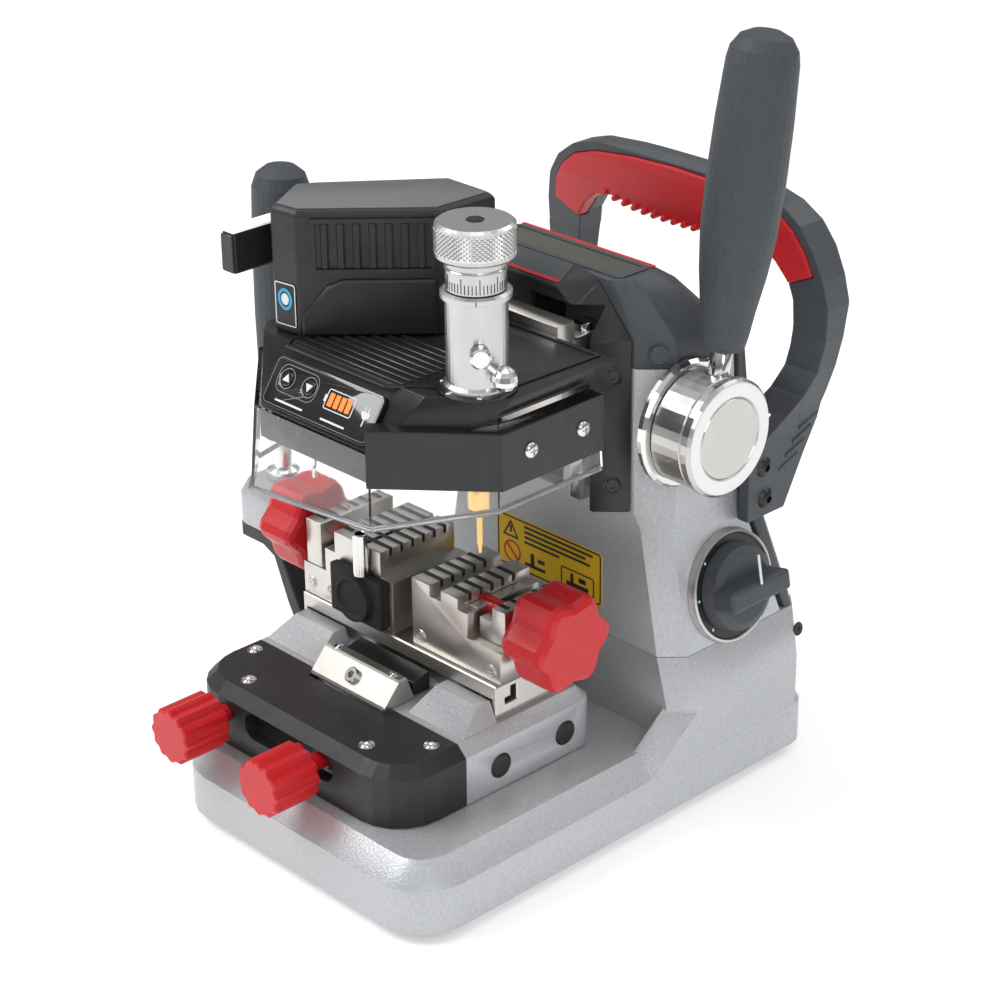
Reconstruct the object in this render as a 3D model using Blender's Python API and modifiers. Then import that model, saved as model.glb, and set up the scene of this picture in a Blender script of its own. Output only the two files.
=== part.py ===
"""A bench-top key duplicating machine, built as separate named pieces.

Lengths below are in millimetres in the machine's own frame: X to the operator's right, Y away from
the operator, Z up, zero in the middle of the base and on the bench. MM turns them into metres.
"""
import math

import bmesh
import bpy
from mathutils import Matrix, Vector

MM = 0.001
GAP = 0.3  # clearance between neighbouring pieces

# Driving dimensions
BASE_HALF_X = 95
BASE_HALF_Y = 140
BASE_BOTTOM = 6
DECK_Z = 41
SEAM_Z = 85.2  # top of the pedestal, where the column stands
COLUMN_FRONT = 40
COLUMN_HALF = 74.3
COLUMN_TOP = 237
HUB_Y = 59
HUB_Z = 208.5
MODULE = 2
PINION_TEETH = 32
PITCH_RADIUS = MODULE * PINION_TEETH / 2
RACK_TOOTH_HALF = 1.4  # half the tooth thickness on the pitch line
TABLE_X = (-102, 60)
TABLE_Y = (-122, 12)
TABLE_TOP = 74
ROD_X_Z = 54.5
ROD_Y_Z = 45.5
HEAD_HALF = 72
DECK_TOP = 257
TOOL_Y = -61
CUTTER_X = -63.5
TRACER_X = 56
MOTOR_X = -24.5
MOTOR_Y = -14
CLAMP_FLOOR = 93
SCREW_Y = -27
SCREW_Z = 121
LEVER_X = -150
LEVER_LEAN = math.radians(7.2)  # the feed lever leans back at rest
LEVER_SPLAY = math.radians(2)  # and outwards, so that it passes the micrometer
PANEL_TILT = math.radians(34)
SWITCH_TILT = math.radians(10.56)
# The middle of the whole machine's bounding box in the machine frame
MACHINE_MIDDLE = (-26.94, -1.5)


# ---------------------------------------------------------------- scene and materials
for old in list(bpy.data.objects):
    bpy.data.objects.remove(old, do_unlink=True)

PARTS = bpy.data.collections.new("key_duplicating_machine")
CUTTERS = bpy.data.collections.new("cutters")
for group in (PARTS, CUTTERS):
    bpy.context.scene.collection.children.link(group)

FINISHES = {
    "silver_paint": ((0.60, 0.61, 0.64), 0.45, 0.6),
    "slate_plastic": ((0.075, 0.085, 0.10), 0.55, 0.0),
    "black_paint": ((0.018, 0.018, 0.02), 0.45, 0.0),
    "gloss_black": ((0.008, 0.008, 0.01), 0.12, 0.0),
    "bright_steel": ((0.72, 0.71, 0.68), 0.25, 1.0),
    "brushed_steel": ((0.48, 0.47, 0.45), 0.38, 1.0),
    "red_plastic": ((0.75, 0.03, 0.035), 0.38, 0.0),
    "black_rubber": ((0.012, 0.012, 0.012), 0.8, 0.0),
    "clear_plastic": ((0.85, 0.88, 0.90), 0.05, 0.0),
    "brass": ((0.75, 0.50, 0.18), 0.3, 1.0),
    "battery_blue": ((0.05, 0.12, 0.35), 0.5, 0.0),
}


def make_material(name, finish):
    colour, roughness, metallic = FINISHES[finish]
    material = bpy.data.materials.new(name)
    material.use_nodes = True
    shader = material.node_tree.nodes["Principled BSDF"]
    shader.inputs["Base Color"].default_value = (*colour, 1)
    shader.inputs["Roughness"].default_value = roughness
    shader.inputs["Metallic"].default_value = metallic
    return material


# ---------------------------------------------------------------- shape tools
def mesh_object(name, mesh, at=(0, 0, 0)):
    obj = bpy.data.objects.new(name, mesh)
    PARTS.objects.link(obj)
    obj.location = Vector(at) * MM
    return obj


def from_bmesh(name, shape, at=(0, 0, 0)):
    mesh = bpy.data.meshes.new(name)
    bmesh.ops.recalc_face_normals(shape, faces=shape.faces)
    shape.to_mesh(mesh)
    shape.free()
    return mesh_object(name, mesh, at)


def block(name, low, high):
    """A box between two corners, with its origin in its middle."""
    shape = bmesh.new()
    bmesh.ops.create_cube(shape, size=1)
    size = [(h - l) * MM for l, h in zip(low, high)]
    bmesh.ops.scale(shape, vec=size, verts=shape.verts)
    middle = [(h + l) / 2 for l, h in zip(low, high)]
    return from_bmesh(name, shape, middle)


def turn_to(obj, axis):
    """Points the object's own Z along axis."""
    obj.rotation_euler = Vector((0, 0, 1)).rotation_difference(Vector(axis)).to_euler()
    return obj


def cylinder(name, radius, start, axis, length, segments=32, tip_radius=None):
    """A round bar or cone from start along axis, with its origin on the axis at start."""
    shape = bmesh.new()
    tip = radius if tip_radius is None else tip_radius
    bmesh.ops.create_cone(shape, cap_ends=True, segments=segments, radius1=radius * MM,
                          radius2=tip * MM, depth=length * MM)
    bmesh.ops.translate(shape, vec=(0, 0, length * MM / 2), verts=shape.verts)
    return turn_to(from_bmesh(name, shape, start), axis)


def ball(name, radius, at, segments=16):
    shape = bmesh.new()
    bmesh.ops.create_uvsphere(shape, u_segments=segments, v_segments=segments // 2, radius=radius * MM)
    return from_bmesh(name, shape, at)


def turned(name, profile, start, axis=(0, 0, 1), steps=32):
    """A turned shape: profile is (radius, height) points from the top down, on the axis at both ends.

    A profile that ends where it starts makes a ring round the axis.
    """
    closed = profile[0] == profile[-1]
    shape = bmesh.new()
    points = [shape.verts.new((radius * MM, 0, height * MM)) for radius, height in profile[:-1]]
    points.append(points[0] if closed else shape.verts.new((profile[-1][0] * MM, 0, profile[-1][1] * MM)))
    for first, second in zip(points, points[1:]):
        shape.edges.new((first, second))
    mesh = bpy.data.meshes.new(name)
    shape.to_mesh(mesh)
    shape.free()
    obj = turn_to(mesh_object(name, mesh, start), axis)
    screw = obj.modifiers.new("turn", "SCREW")
    screw.steps = steps
    screw.render_steps = steps
    screw.use_merge_vertices = True
    screw.merge_threshold = 0.00001
    return obj


def arc(centre, radius, start_degrees, end_degrees, steps):
    """Points on a round stretch of an outline."""
    points = []
    for step in range(steps + 1):
        angle = math.radians(start_degrees + (end_degrees - start_degrees) * step / steps)
        points.append((centre[0] + radius * math.cos(angle), centre[1] + radius * math.sin(angle)))
    return points


def rounded_box(low, high, radii, steps=5):
    """A rectangle's outline with a radius at each corner, counted from low-low anticlockwise."""
    (x0, y0), (x1, y1) = low, high
    corners = [(x0, y0, 1, 1, 180), (x1, y0, -1, 1, 270), (x1, y1, -1, -1, 0), (x0, y1, 1, -1, 90)]
    outline = []
    for (x, y, in_x, in_y, start), radius in zip(corners, radii):
        outline += arc((x + in_x * radius, y + in_y * radius), radius, start, start + 90, steps)
    return outline


def wavy_ring(radius, depth, waves, points):
    """A lobed or fluted round outline."""
    ring = []
    for step in range(points):
        angle = 2 * math.pi * step / points
        reach = radius - depth * (1 - math.cos(waves * angle)) / 2
        ring.append((reach * math.cos(angle), reach * math.sin(angle)))
    return ring


def plate(name, outline, low, high, axis="Z"):
    """A flat outline made solid between low and high along an axis.

    The outline is (x, y) for Z, (x, z) for Y and (y, z) for X.
    """
    curve = bpy.data.curves.new(name, "CURVE")
    curve.dimensions = "2D"
    curve.fill_mode = "BOTH"
    curve.extrude = (high - low) / 2 * MM
    spline = curve.splines.new("POLY")
    spline.points.add(len(outline) - 1)
    for point, (across, up) in zip(spline.points, outline):
        point.co = (across * MM, up * MM, 0, 1)
    spline.use_cyclic_u = True
    flat = bpy.data.objects.new(name + "_outline", curve)
    PARTS.objects.link(flat)
    bpy.context.view_layer.update()
    seen = flat.evaluated_get(bpy.context.evaluated_depsgraph_get())
    mesh = bpy.data.meshes.new_from_object(seen)
    bpy.data.objects.remove(flat)
    bpy.data.curves.remove(curve)
    shape = bmesh.new()
    shape.from_mesh(mesh)
    bmesh.ops.remove_doubles(shape, verts=shape.verts, dist=0.000001)
    bmesh.ops.dissolve_limit(shape, angle_limit=0.001, verts=shape.verts, edges=shape.edges)
    to_axis = {
        "Z": Matrix.Identity(4),
        "Y": Matrix(((1, 0, 0, 0), (0, 0, -1, 0), (0, 1, 0, 0), (0, 0, 0, 1))),
        "X": Matrix(((0, 0, 1, 0), (1, 0, 0, 0), (0, 1, 0, 0), (0, 0, 0, 1))),
    }[axis]
    bmesh.ops.transform(shape, matrix=to_axis, verts=shape.verts)
    middle = {"X": (1, 0, 0), "Y": (0, 1, 0), "Z": (0, 0, 1)}[axis]
    bpy.data.meshes.remove(mesh)
    return from_bmesh(name, shape, Vector(middle) * (low + high) / 2)


def loft(name, sections):
    """A closed skin through rings of 3-D points that all have the same count."""
    shape = bmesh.new()
    rings = [[shape.verts.new(Vector(point) * MM) for point in section] for section in sections]
    for lower, upper in zip(rings, rings[1:]):
        for index in range(len(lower)):
            following = (index + 1) % len(lower)
            shape.faces.new((lower[index], lower[following], upper[following], upper[index]))
    shape.faces.new(rings[0])
    shape.faces.new(rings[-1])
    return from_bmesh(name, shape)


def at_height(outline, height):
    return [(x, y, height) for x, y in outline]


def tower(name, levels, steps=1):
    """A loft upwards: each level is height, half width, front, rear, front corner, rear corner."""
    sections = []
    for height, half, front, rear, front_corner, rear_corner in levels:
        corners = (front_corner, front_corner, rear_corner, rear_corner)
        sections.append(at_height(rounded_box((-half, front), (half, rear), corners, steps), height))
    return loft(name, sections)


def move_to_cutters(obj):
    if obj.name in PARTS.objects:
        PARTS.objects.unlink(obj)
        CUTTERS.objects.link(obj)
    obj.parent = MACHINE
    obj.hide_render = True
    obj.display_type = "WIRE"


def boolean(obj, other, operation):
    modifier = obj.modifiers.new(operation.lower(), "BOOLEAN")
    modifier.operation = operation
    modifier.object = other
    modifier.solver = "EXACT"
    move_to_cutters(other)
    return obj


def cut(obj, *others):
    for other in others:
        boolean(obj, other, "DIFFERENCE")
    return obj


def join(obj, *others):
    for other in others:
        boolean(obj, other, "UNION")
    return obj


def keep(obj, other):
    return boolean(obj, other, "INTERSECT")


def bevel(obj, width, segments=2, angle=40):
    modifier = obj.modifiers.new("soft edges", "BEVEL")
    modifier.width = width * MM
    modifier.segments = segments
    modifier.limit_method = "ANGLE"
    modifier.angle_limit = math.radians(angle)
    return obj


# ---------------------------------------------------------------- bodies and placing
MACHINE = bpy.data.objects.new("machine", None)
PARTS.objects.link(MACHINE)
MACHINE.location = (-MACHINE_MIDDLE[0] * MM, -MACHINE_MIDDLE[1] * MM, 0)
BODIES = {}


def body(name, origin=(0, 0, 0)):
    """An empty on the body's joint axis that its pieces hang on."""
    empty = bpy.data.objects.new(name, None)
    PARTS.objects.link(empty)
    empty.parent = MACHINE
    empty.location = Vector(origin) * MM
    BODIES[name] = empty


def finish(obj, body_name, finish_name, smooth=None):
    """Gives a piece its material, its shading and its place under its body's empty."""
    obj.data.materials.clear()
    obj.data.materials.append(make_material(obj.name + "_" + finish_name, finish_name))
    if smooth is not None:
        for face in obj.data.polygons:
            face.use_smooth = True
        obj.data.set_sharp_from_angle(angle=math.radians(smooth))
    empty = BODIES[body_name]
    obj.parent = empty
    obj.location -= empty.location
    return obj


body("frame")
body("saddle", (0, TOOL_Y, ROD_Y_Z))
body("table", (-21, TOOL_Y, ROD_X_Z))
body("head", (0, 8, HUB_Z))
body("z_lever", (COLUMN_HALF, HUB_Y, HUB_Z))
body("left_jaw_slide", (-85, SCREW_Y, SCREW_Z))
body("right_jaw_slide", (41, SCREW_Y, SCREW_Z))
body("spindle", (CUTTER_X, TOOL_Y, 200))
body("motor_shaft", (MOTOR_X, MOTOR_Y, 265))


# ---------------------------------------------------------------- base and column
def build_base():
    def plan(height, inset):
        low = (inset - BASE_HALF_X, inset - BASE_HALF_Y)
        high = (BASE_HALF_X - inset, BASE_HALF_Y - inset)
        corners = (28 - inset, 28 - inset, 12 - inset, 12 - inset)
        return at_height(rounded_box(low, high, corners), height)

    base = loft("base_casting", [plan(BASE_BOTTOM, 0), plan(30, 0), plan(DECK_Z, 11)])
    pedestal = tower("pedestal", [(20, 94.9, 40, 139.9, 11, 11), (60, 94.9, 40, 139.9, 11, 11),
                                  (SEAM_Z, 88, 40, 139.9, 11, 8)])
    crease = [(-14, 29.5), (18.5, 30.3), (50, 55), (66, 59)]
    ramps = []
    for side in (-1, 1):
        outer = [(side * 94.9, y, z) for y, z in crease]
        inner = [(side * 82, y, z + 10.8) for y, z in crease]
        foot = [(side * 76, y, 20) for y, z in crease]
        outer_foot = [(side * 94.9, y, 20) for y, z in crease]
        rings = [[a, b, c, d] for a, b, c, d in zip(outer_foot, outer, inner, foot)]
        ramps.append(loft("ramp", rings))
    lugs = []
    for x in (-20, 20):
        lug = block("rod_lug", (x - 6, -102, 36), (x + 6, -94, 52))
        lugs.append(lug)
    join(base, pedestal, *ramps, *lugs)
    cut(base, block("hollow_long", (-50, -131, -1), (50, 131, 33)),
        block("hollow_wide", (-87, -94, -1), (87, 94, 26)),
        block("hollow_pedestal", (-80, 52, 20), (80, 94, 77)))
    for x in (-72, 72):
        for y in (-116, 116):
            cut(base, cylinder("foot_recess", 16, (x, y, -1), (0, 0, 1), 10, 24))
    for x in (-20, 20):
        cut(base, cylinder("rod_bore", 3 + GAP, (x, -110, ROD_Y_Z), (0, 1, 0), 30, 16))
    finish(base, "frame", "silver_paint")
    for x, side in ((-72, "left"), (72, "right")):
        for y, end in ((-116, "front"), (116, "rear")):
            foot = turned(f"foot_{end}_{side}", [(0, 8.7), (12.5, 8.7), (13.5, 6), (12, 0), (0, 0)],
                          (x, y, 0), steps=24)
            finish(foot, "frame", "black_rubber")
    for x, side in ((-20, "left"), (20, "right")):
        finish(cylinder(f"y_rod_{side}", 3, (x, -101, ROD_Y_Z), (0, 1, 0), 140.7, 16),
               "frame", "bright_steel")


def build_column():
    column = tower("column_casting", [(SEAM_Z + GAP, 88, 40, 126, 11, 4), (153, 75.4, 40, 106, 11, 4),
                                      (160, COLUMN_HALF, 40, 104, 14.5, 4),
                                      (COLUMN_TOP, COLUMN_HALF, 40, 99, 14.5, 4)])
    hollow = tower("column_hollow", [(80, 81, 48, 121, 9, 3), (153, 68, 48, 101, 9, 3),
                                     (240, 67, 48, 94.5, 9, 3)])
    slot = block("rack_slot", (-10, 30, 158), (10, 50, 245))
    cut(column, hollow, slot, cylinder("shaft_bore", 8 + GAP, (0, HUB_Y, HUB_Z), (1, 0, 0), 100, 24))
    finish(column, "frame", "silver_paint")

    battery = bevel(block("battery_pack", (-42, 54, SEAM_Z + GAP), (42, 92, 145)), 3)
    finish(battery, "frame", "battery_blue")

    opening = block("arch_opening", (-42, 0, 150), (42, 60, 266))
    outer = [(-58.5, 160), (58.5, 160), (58.5, 252), (36, 277), (24, 282), (-24, 282), (-36, 277),
             (-58.5, 252)]
    inner = [(-44.5, 160), (44.5, 160), (44.5, 250), (32, 264), (20, 273), (-20, 273), (-32, 264),
             (-44.5, 250)]
    back = [(x, COLUMN_FRONT - GAP, z) for x, z in outer]
    front = [(x, 26, z) for x, z in inner]
    arch = loft("slide_frame", [front, back])
    finish(bevel(cut(arch, opening), 0.8, 1), "frame", "black_paint")

    for side, name in ((-1, "left"), (1, "right")):
        ends = sorted((side * 26, side * 34))
        rail = block(f"z_rail_{name}", (ends[0], 29, 162), (ends[1], COLUMN_FRONT - GAP, 256))
        finish(rail, "frame", "bright_steel")

    ring = turned("hub_bearing_ring", [(9, 4), (31.5, 4), (33, 2.5), (33, 0), (9, 0), (9, 4)],
                  (COLUMN_HALF + GAP, HUB_Y, HUB_Z), (1, 0, 0), 32)
    finish(ring, "frame", "bright_steel")


def build_covers():
    top = tower("top_cover", [(COLUMN_TOP + GAP, COLUMN_HALF, 40, 101, 14.5, 4),
                              (251, 72.5, 40, 94, 14.5, 6), (272, 58, 40, 78.5, 10, 8),
                              (279, 50, 40, 69, 8, 8)])
    hollow = tower("top_hollow", [(230, 70, 43, 99, 13, 4), (250, 69, 43, 91, 13, 4),
                                  (268, 56, 43, 76, 9, 6), (275, 48, 43, 66, 7, 6)])
    cut(top, hollow, block("pinion_way", (-12, 30, 230), (12, 50, 262)))
    finish(top, "frame", "slate_plastic")

    rear = tower("rear_cover", [(SEAM_Z + GAP, 87.5, 104, 139.5, 3, 8), (141, 76.5, 90, 125.5, 3, 8),
                                (170, 73.5, 88, 121, 3, 8), (COLUMN_TOP, 73.5, 80, 112, 3, 8)])
    column_room = tower("column_room", [(60, 100, 20, 126 + 7.6 + GAP, 1, 1), (85.2, 100, 20, 126.6, 1, 1),
                                        (153, 100, 20, 106.6, 1, 1), (160, 100, 20, 104.4, 1, 1),
                                        (250, 100, 20, 98.6, 1, 1)])
    inside = tower("rear_inside", [(80, 83, 60, 137.9, 3, 6), (141, 72, 60, 121.5, 3, 6),
                                   (170, 69, 60, 117, 3, 6), (232, 69, 60, 109, 3, 6)])
    finish(cut(rear, column_room, inside), "frame", "slate_plastic")


def mirrored(half_outline):
    """A whole outline from its right half, which is listed from the bottom up to the middle line."""
    return half_outline + [(-x, z) for x, z in reversed(half_outline) if x > 0]


def build_handle():
    front_side = [(131, 306), (130.5, 298), (131.5, 284), (135, 268), (138, 252), (138.5, 234), (137, 216),
                  (131.4, 204), (122.6, 195), (111.3, 188), (103, 181), (98, 172)]
    rear_side = [(98, 143), (126, 143), (138, 165), (148.5, 186), (150.5, 201), (151.5, 217), (153, 235),
                 (155, 252), (152, 272), (149, 290), (146, 304), (141, 309.5), (135, 310)]
    outer = mirrored([(84.5, 140), (84.5, 168), (85.5, 185), (87, 195), (90, 204), (94, 217), (97, 233),
                      (98, 250), (96, 266), (91.5, 281), (84, 293), (73, 301), (57, 306), (30, 309), (0, 310)])
    window = mirrored([(65, 100), (65, 196), (68, 203), (72, 214), (74.5, 226), (75.5, 238), (75, 250),
                       (72.5, 261), (66, 270), (57, 276.5), (45, 278.5), (25, 275.5), (0, 274.5)])
    grip_area = mirrored([(60, 257), (74, 259.5), (90, 267), (86.5, 279.5), (80, 289.5), (71, 296.5),
                          (56, 301), (30, 303.8), (0, 304.8)])
    grip_rear = 143
    grip_swell = 1.2

    handle = plate("carry_handle", rear_side + front_side, -99, 99, "X")
    keep(handle, plate("handle_outer", outer, 90, 180, "Y"))
    cut(handle, plate("handle_window", window, 90, 180, "Y"),
        plate("grip_room", grip_area, 90, grip_rear, "Y"),
        block("column_space", (-77.7, 90, 130), (77.7, 180, 194)))
    finish(bevel(handle, 2.6, 2, 35), "frame", "slate_plastic", 40)

    swollen = [(y - grip_swell, z) for y, z in front_side]
    grip = plate("handle_grip", rear_side + swollen, -99, 99, "X")
    keep(grip, plate("grip_outer", shrink(grip_area, GAP), 90, grip_rear - GAP, "Y"))
    cut(grip, plate("grip_window", window, 90, 180, "Y"))
    finish(bevel(grip, 1.8, 2, 35), "frame", "red_plastic", 40)


def build_switch():
    normal = Vector((math.cos(SWITCH_TILT), 0, math.sin(SWITCH_TILT)))
    foot = Vector((88 - (112 - SEAM_Z) * math.tan(SWITCH_TILT), 86, 112)) + normal * GAP
    body("switch", foot)
    start = foot + normal * (3 + GAP)
    knob = turned("switch_knob", [(0, 9), (18, 9), (22, 7), (23.5, 0), (0, 0)], start, normal, 32)
    grip = block("knob_bar", (-5.5, -22, 6), (5.5, 22, 20))
    turn_to(grip, normal)
    grip.location = (start + normal * 13) * MM
    finish(join(knob, bevel(grip, 2, 2)), "switch", "slate_plastic", 35)


# ---------------------------------------------------------------- lever and rack
def build_lever():
    hub = turned("lever_hub", [(0, 19.5), (28, 19.5), (29, 18.5), (29, 1), (28, 0), (0, 0)],
                 (79, HUB_Y, HUB_Z), (1, 0, 0), 40)
    finish(hub, "z_lever", "brushed_steel", 35)
    cap = turned("hub_cap", [(0, 6), (20, 6), (20.6, 5.4), (21.2, 6), (28.6, 6), (30, 4.6), (30, 1),
                             (29, 0), (0, 0)], (98.5 + GAP, HUB_Y, HUB_Z), (1, 0, 0), 40)
    finish(cap, "z_lever", "bright_steel", 35)
    start = Vector((91, 64.2, 231))
    tilt = Vector((math.sin(LEVER_SPLAY), math.sin(LEVER_LEAN), 1)).normalized()
    cut(hub, cylinder("rod_hole", 5.5 + GAP, start - tilt * 10, tilt, 40, 24))
    finish(cylinder("lever_rod", 5.5, start - tilt * 9.5, tilt, 30, 24), "z_lever", "bright_steel", 35)
    foot = start + tilt * (20.5 + GAP)
    grip = turned("lever_grip", [(0, 153), (7, 152.2), (12.5, 149.5), (16.2, 144), (17.3, 138), (18.6, 110),
                                 (19, 82), (18.3, 55), (16.3, 36), (13.4, 18), (11.8, 5), (10.8, 0), (0, 0)],
                  foot, tilt, 28)
    finish(grip, "z_lever", "slate_plastic", 50)

    def tooth(middle):
        """Half widths of an involute-like tooth, as angles at the root, pitch and tip."""
        sides = ((PITCH_RADIUS - 2.5, 0.0587), (PITCH_RADIUS, 0.0437), (PITCH_RADIUS + 2, 0.0165))
        rising = [(radius, middle - half) for radius, half in sides]
        falling = [(radius, middle + half) for radius, half in reversed(sides)]
        return [(radius * math.cos(angle), radius * math.sin(angle)) for radius, angle in rising + falling]

    pitch = 2 * math.pi / PINION_TEETH
    outline = []
    for index in range(PINION_TEETH):
        outline += tooth(math.pi + pitch * (index + 0.5))
    pinion = plate("lever_pinion", outline, -7, 7, "X")
    pinion.location = Vector((0, HUB_Y, HUB_Z)) * MM
    shaft = cylinder("pinion_shaft", 8, (-40, HUB_Y, HUB_Z), (1, 0, 0), 118.7, 24)
    finish(join(pinion, shaft), "z_lever", "brushed_steel")


def build_carriage():
    carriage = block("z_carriage", (-38, 8 + GAP, 203), (38, 20, 262))
    pitch = math.pi * MODULE
    root = HUB_Y - PITCH_RADIUS - 2.5
    tip = HUB_Y - PITCH_RADIUS + 2
    slope = math.tan(math.radians(20))
    outline = [(19, 200)]
    for index in range(-1, 8):
        middle = HUB_Z + pitch * index
        wide = RACK_TOOTH_HALF + 2.5 * slope
        narrow = RACK_TOOTH_HALF - 2 * slope
        outline += [(root, middle - wide), (tip, middle - narrow), (tip, middle + narrow),
                    (root, middle + wide)]
    outline += [(root, 258), (19, 258)]
    rack = plate("rack", outline, -6, 6, "X")
    join(carriage, rack)
    for side in (-1, 1):
        ends = sorted((side * 22, side * 38))
        bearing = block("bearing", (ends[0], 19, 212), (ends[1], 37, 252))
        groove_ends = sorted((side * (26 - GAP), side * (34 + GAP)))
        groove = block("bearing_groove", (groove_ends[0], 29 - GAP, 200), (groove_ends[1], 45, 270))
        join(carriage, bearing)
        cut(carriage, groove)
    finish(carriage, "head", "brushed_steel")


# ---------------------------------------------------------------- X-Y table
def table_plan(height, inset=0, y_low=TABLE_Y[0], y_high=TABLE_Y[1], front=27):
    low = (TABLE_X[0] + inset, y_low + inset)
    high = (TABLE_X[1] - inset, y_high - inset)
    return at_height(rounded_box(low, high, (front - inset, front - inset, 8 - inset, 8 - inset)), height)


def fluted_knob(name, at, length):
    """A red lock knob with its stem; its axis points away from the machine, along -Y."""
    knob = plate(name, wavy_ring(15, 1.6, 12, 48), -length / 2, length / 2, "Y")
    x, z = at
    knob.location = Vector((x, -144, z)) * MM
    return bevel(knob, 0.9, 1, 60)


def build_saddle():
    saddle = block("saddle_block", (-34, -62, 41.5), (34, 2, 64))
    for x in (-20, 20):
        cut(saddle, cylinder("saddle_y_bore", 3 + GAP, (x, -90, ROD_Y_Z), (0, 1, 0), 120, 16))
    for y in (-53, -8.5):
        cut(saddle, cylinder("saddle_x_bore", 5 + GAP, (-60, y, ROD_X_Z), (1, 0, 0), 120, 20))
    finish(saddle, "saddle", "brushed_steel")
    body("y_lock", (0, -130, 60))
    knob = fluted_knob("y_lock_knob", (0, 60), 28)
    stem = cylinder("y_lock_stem", 4.5, (0, -62 - GAP, 60), (0, -1, 0), 72, 20)
    finish(join(knob, stem), "y_lock", "red_plastic", 30)


def build_table():
    def shell(name):
        solid = loft(name, [table_plan(DECK_Z + 0.6), table_plan(68), table_plan(TABLE_TOP, 6)])
        hollow = loft(name + "_hollow", [table_plan(30, 7), table_plan(66, 7)])
        return cut(solid, hollow)

    split = -76
    table = shell("table_casting")
    cut(table, block("table_front_half", (-120, -140, 20), (80, split, 90)),
        block("y_rod_way", (-74, 0, 30), (32, 20, 52)))
    for y in (-53, -8.5):
        cut(table, cylinder("table_x_bore", 5 + GAP, (-110, y, ROD_X_Z), (1, 0, 0), 180, 20))
    humps = [((-96, -56), (-90, -60)), ((14, 54), (18, 48))]
    for (x0, x1), (u0, u1) in humps:
        low = [(x0, -74, 73), (x1, -74, 73), (x1, -49, 73), (x0, -49, 73)]
        high = [(u0, -57, 84.5), (u1, -57, 84.5), (u1, -49, 84.5), (u0, -49, 84.5)]
        join(table, loft("hump", [low, high]))
    join(table, block("clamp_step", (-92, -50, 70), (50, 5, 76.7)))
    finish(table, "table", "silver_paint")

    fascia = shell("front_fascia")
    cut(fascia, block("fascia_rear_half", (-120, split - GAP, 20), (80, 40, 90)))
    slot = rounded_box((-54.4, 52.5), (13.6, 67.5), (7.4, 7.4, 7.4, 7.4), 6)
    cut(fascia, plate("fascia_slot", slot, -130, -100, "Y"),
        cylinder("x_lock_bore", 4.5 + GAP, (-69.5, -130, 60), (0, 1, 0), 30, 20),
        block("wedge_notch", (-50, -83, 60), (8, -70, 90)))
    finish(bevel(fascia, 0.7, 1, 50), "table", "black_paint", 30)

    for y, name in ((-53, "front"), (-8.5, "rear")):
        rod = cylinder(f"x_rod_{name}", 5, (TABLE_X[0] + 0.5, y, ROD_X_Z), (1, 0, 0), 161, 20)
        finish(rod, "table", "brushed_steel")

    body("x_lock", (-69.5, -130, 60))
    knob = fluted_knob("x_lock_knob", (-69.5, 60), 28)
    stem = cylinder("x_lock_stem", 4.5, (-69.5, -114.5, 60), (0, -1, 0), 22, 20)
    finish(join(knob, stem), "x_lock", "red_plastic", 30)


def build_wedge():
    section = [(-82.5, 74.3), (-82.5, 76.5), (-72, 88), (-66, 88), (-61, 74.3)]
    wedge = plate("wedge_block", section, -49, 7, "X")
    wedge.location.x = -21 * MM
    finish(bevel(wedge, 0.8, 1), "table", "bright_steel")


# ---------------------------------------------------------------- clamps
def slots(obj, x_low, x_high, top, depth, first_y, pitch, count):
    """Sawn key slots across the top of a jaw."""
    for index in range(count):
        y = first_y + pitch * index
        cut(obj, block("key_slot", (x_low, y, top - depth), (x_high, y + 2.2, top + 5)))
    return obj


def clamp_knob(name, x_from, x_to, stem_to):
    """A red six-lobed clamp knob on its screw."""
    low, high = sorted((x_from, x_to))
    knob = plate(name, wavy_ring(25.5, 4.5, 6, 36), low, high, "X")
    knob.location += Vector((0, SCREW_Y, SCREW_Z)) * MM
    bevel(knob, 4, 2, 60)
    stem_low, stem_high = sorted((x_from, stem_to))
    stem = cylinder(name + "_screw", 5, (stem_low - 1, SCREW_Y, SCREW_Z), (1, 0, 0),
                    stem_high - stem_low + 2, 20)
    inward = math.copysign(1, stem_to - x_from)
    neck = cylinder(name + "_neck", 9, (x_from - inward * 2, SCREW_Y, SCREW_Z), (inward, 0, 0), 7, 24)
    return join(knob, stem, neck)


def screw_bore(name, x_low, x_high):
    return cylinder(name, 5 + GAP, (x_low, SCREW_Y, SCREW_Z), (1, 0, 0), x_high - x_low, 20)


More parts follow.
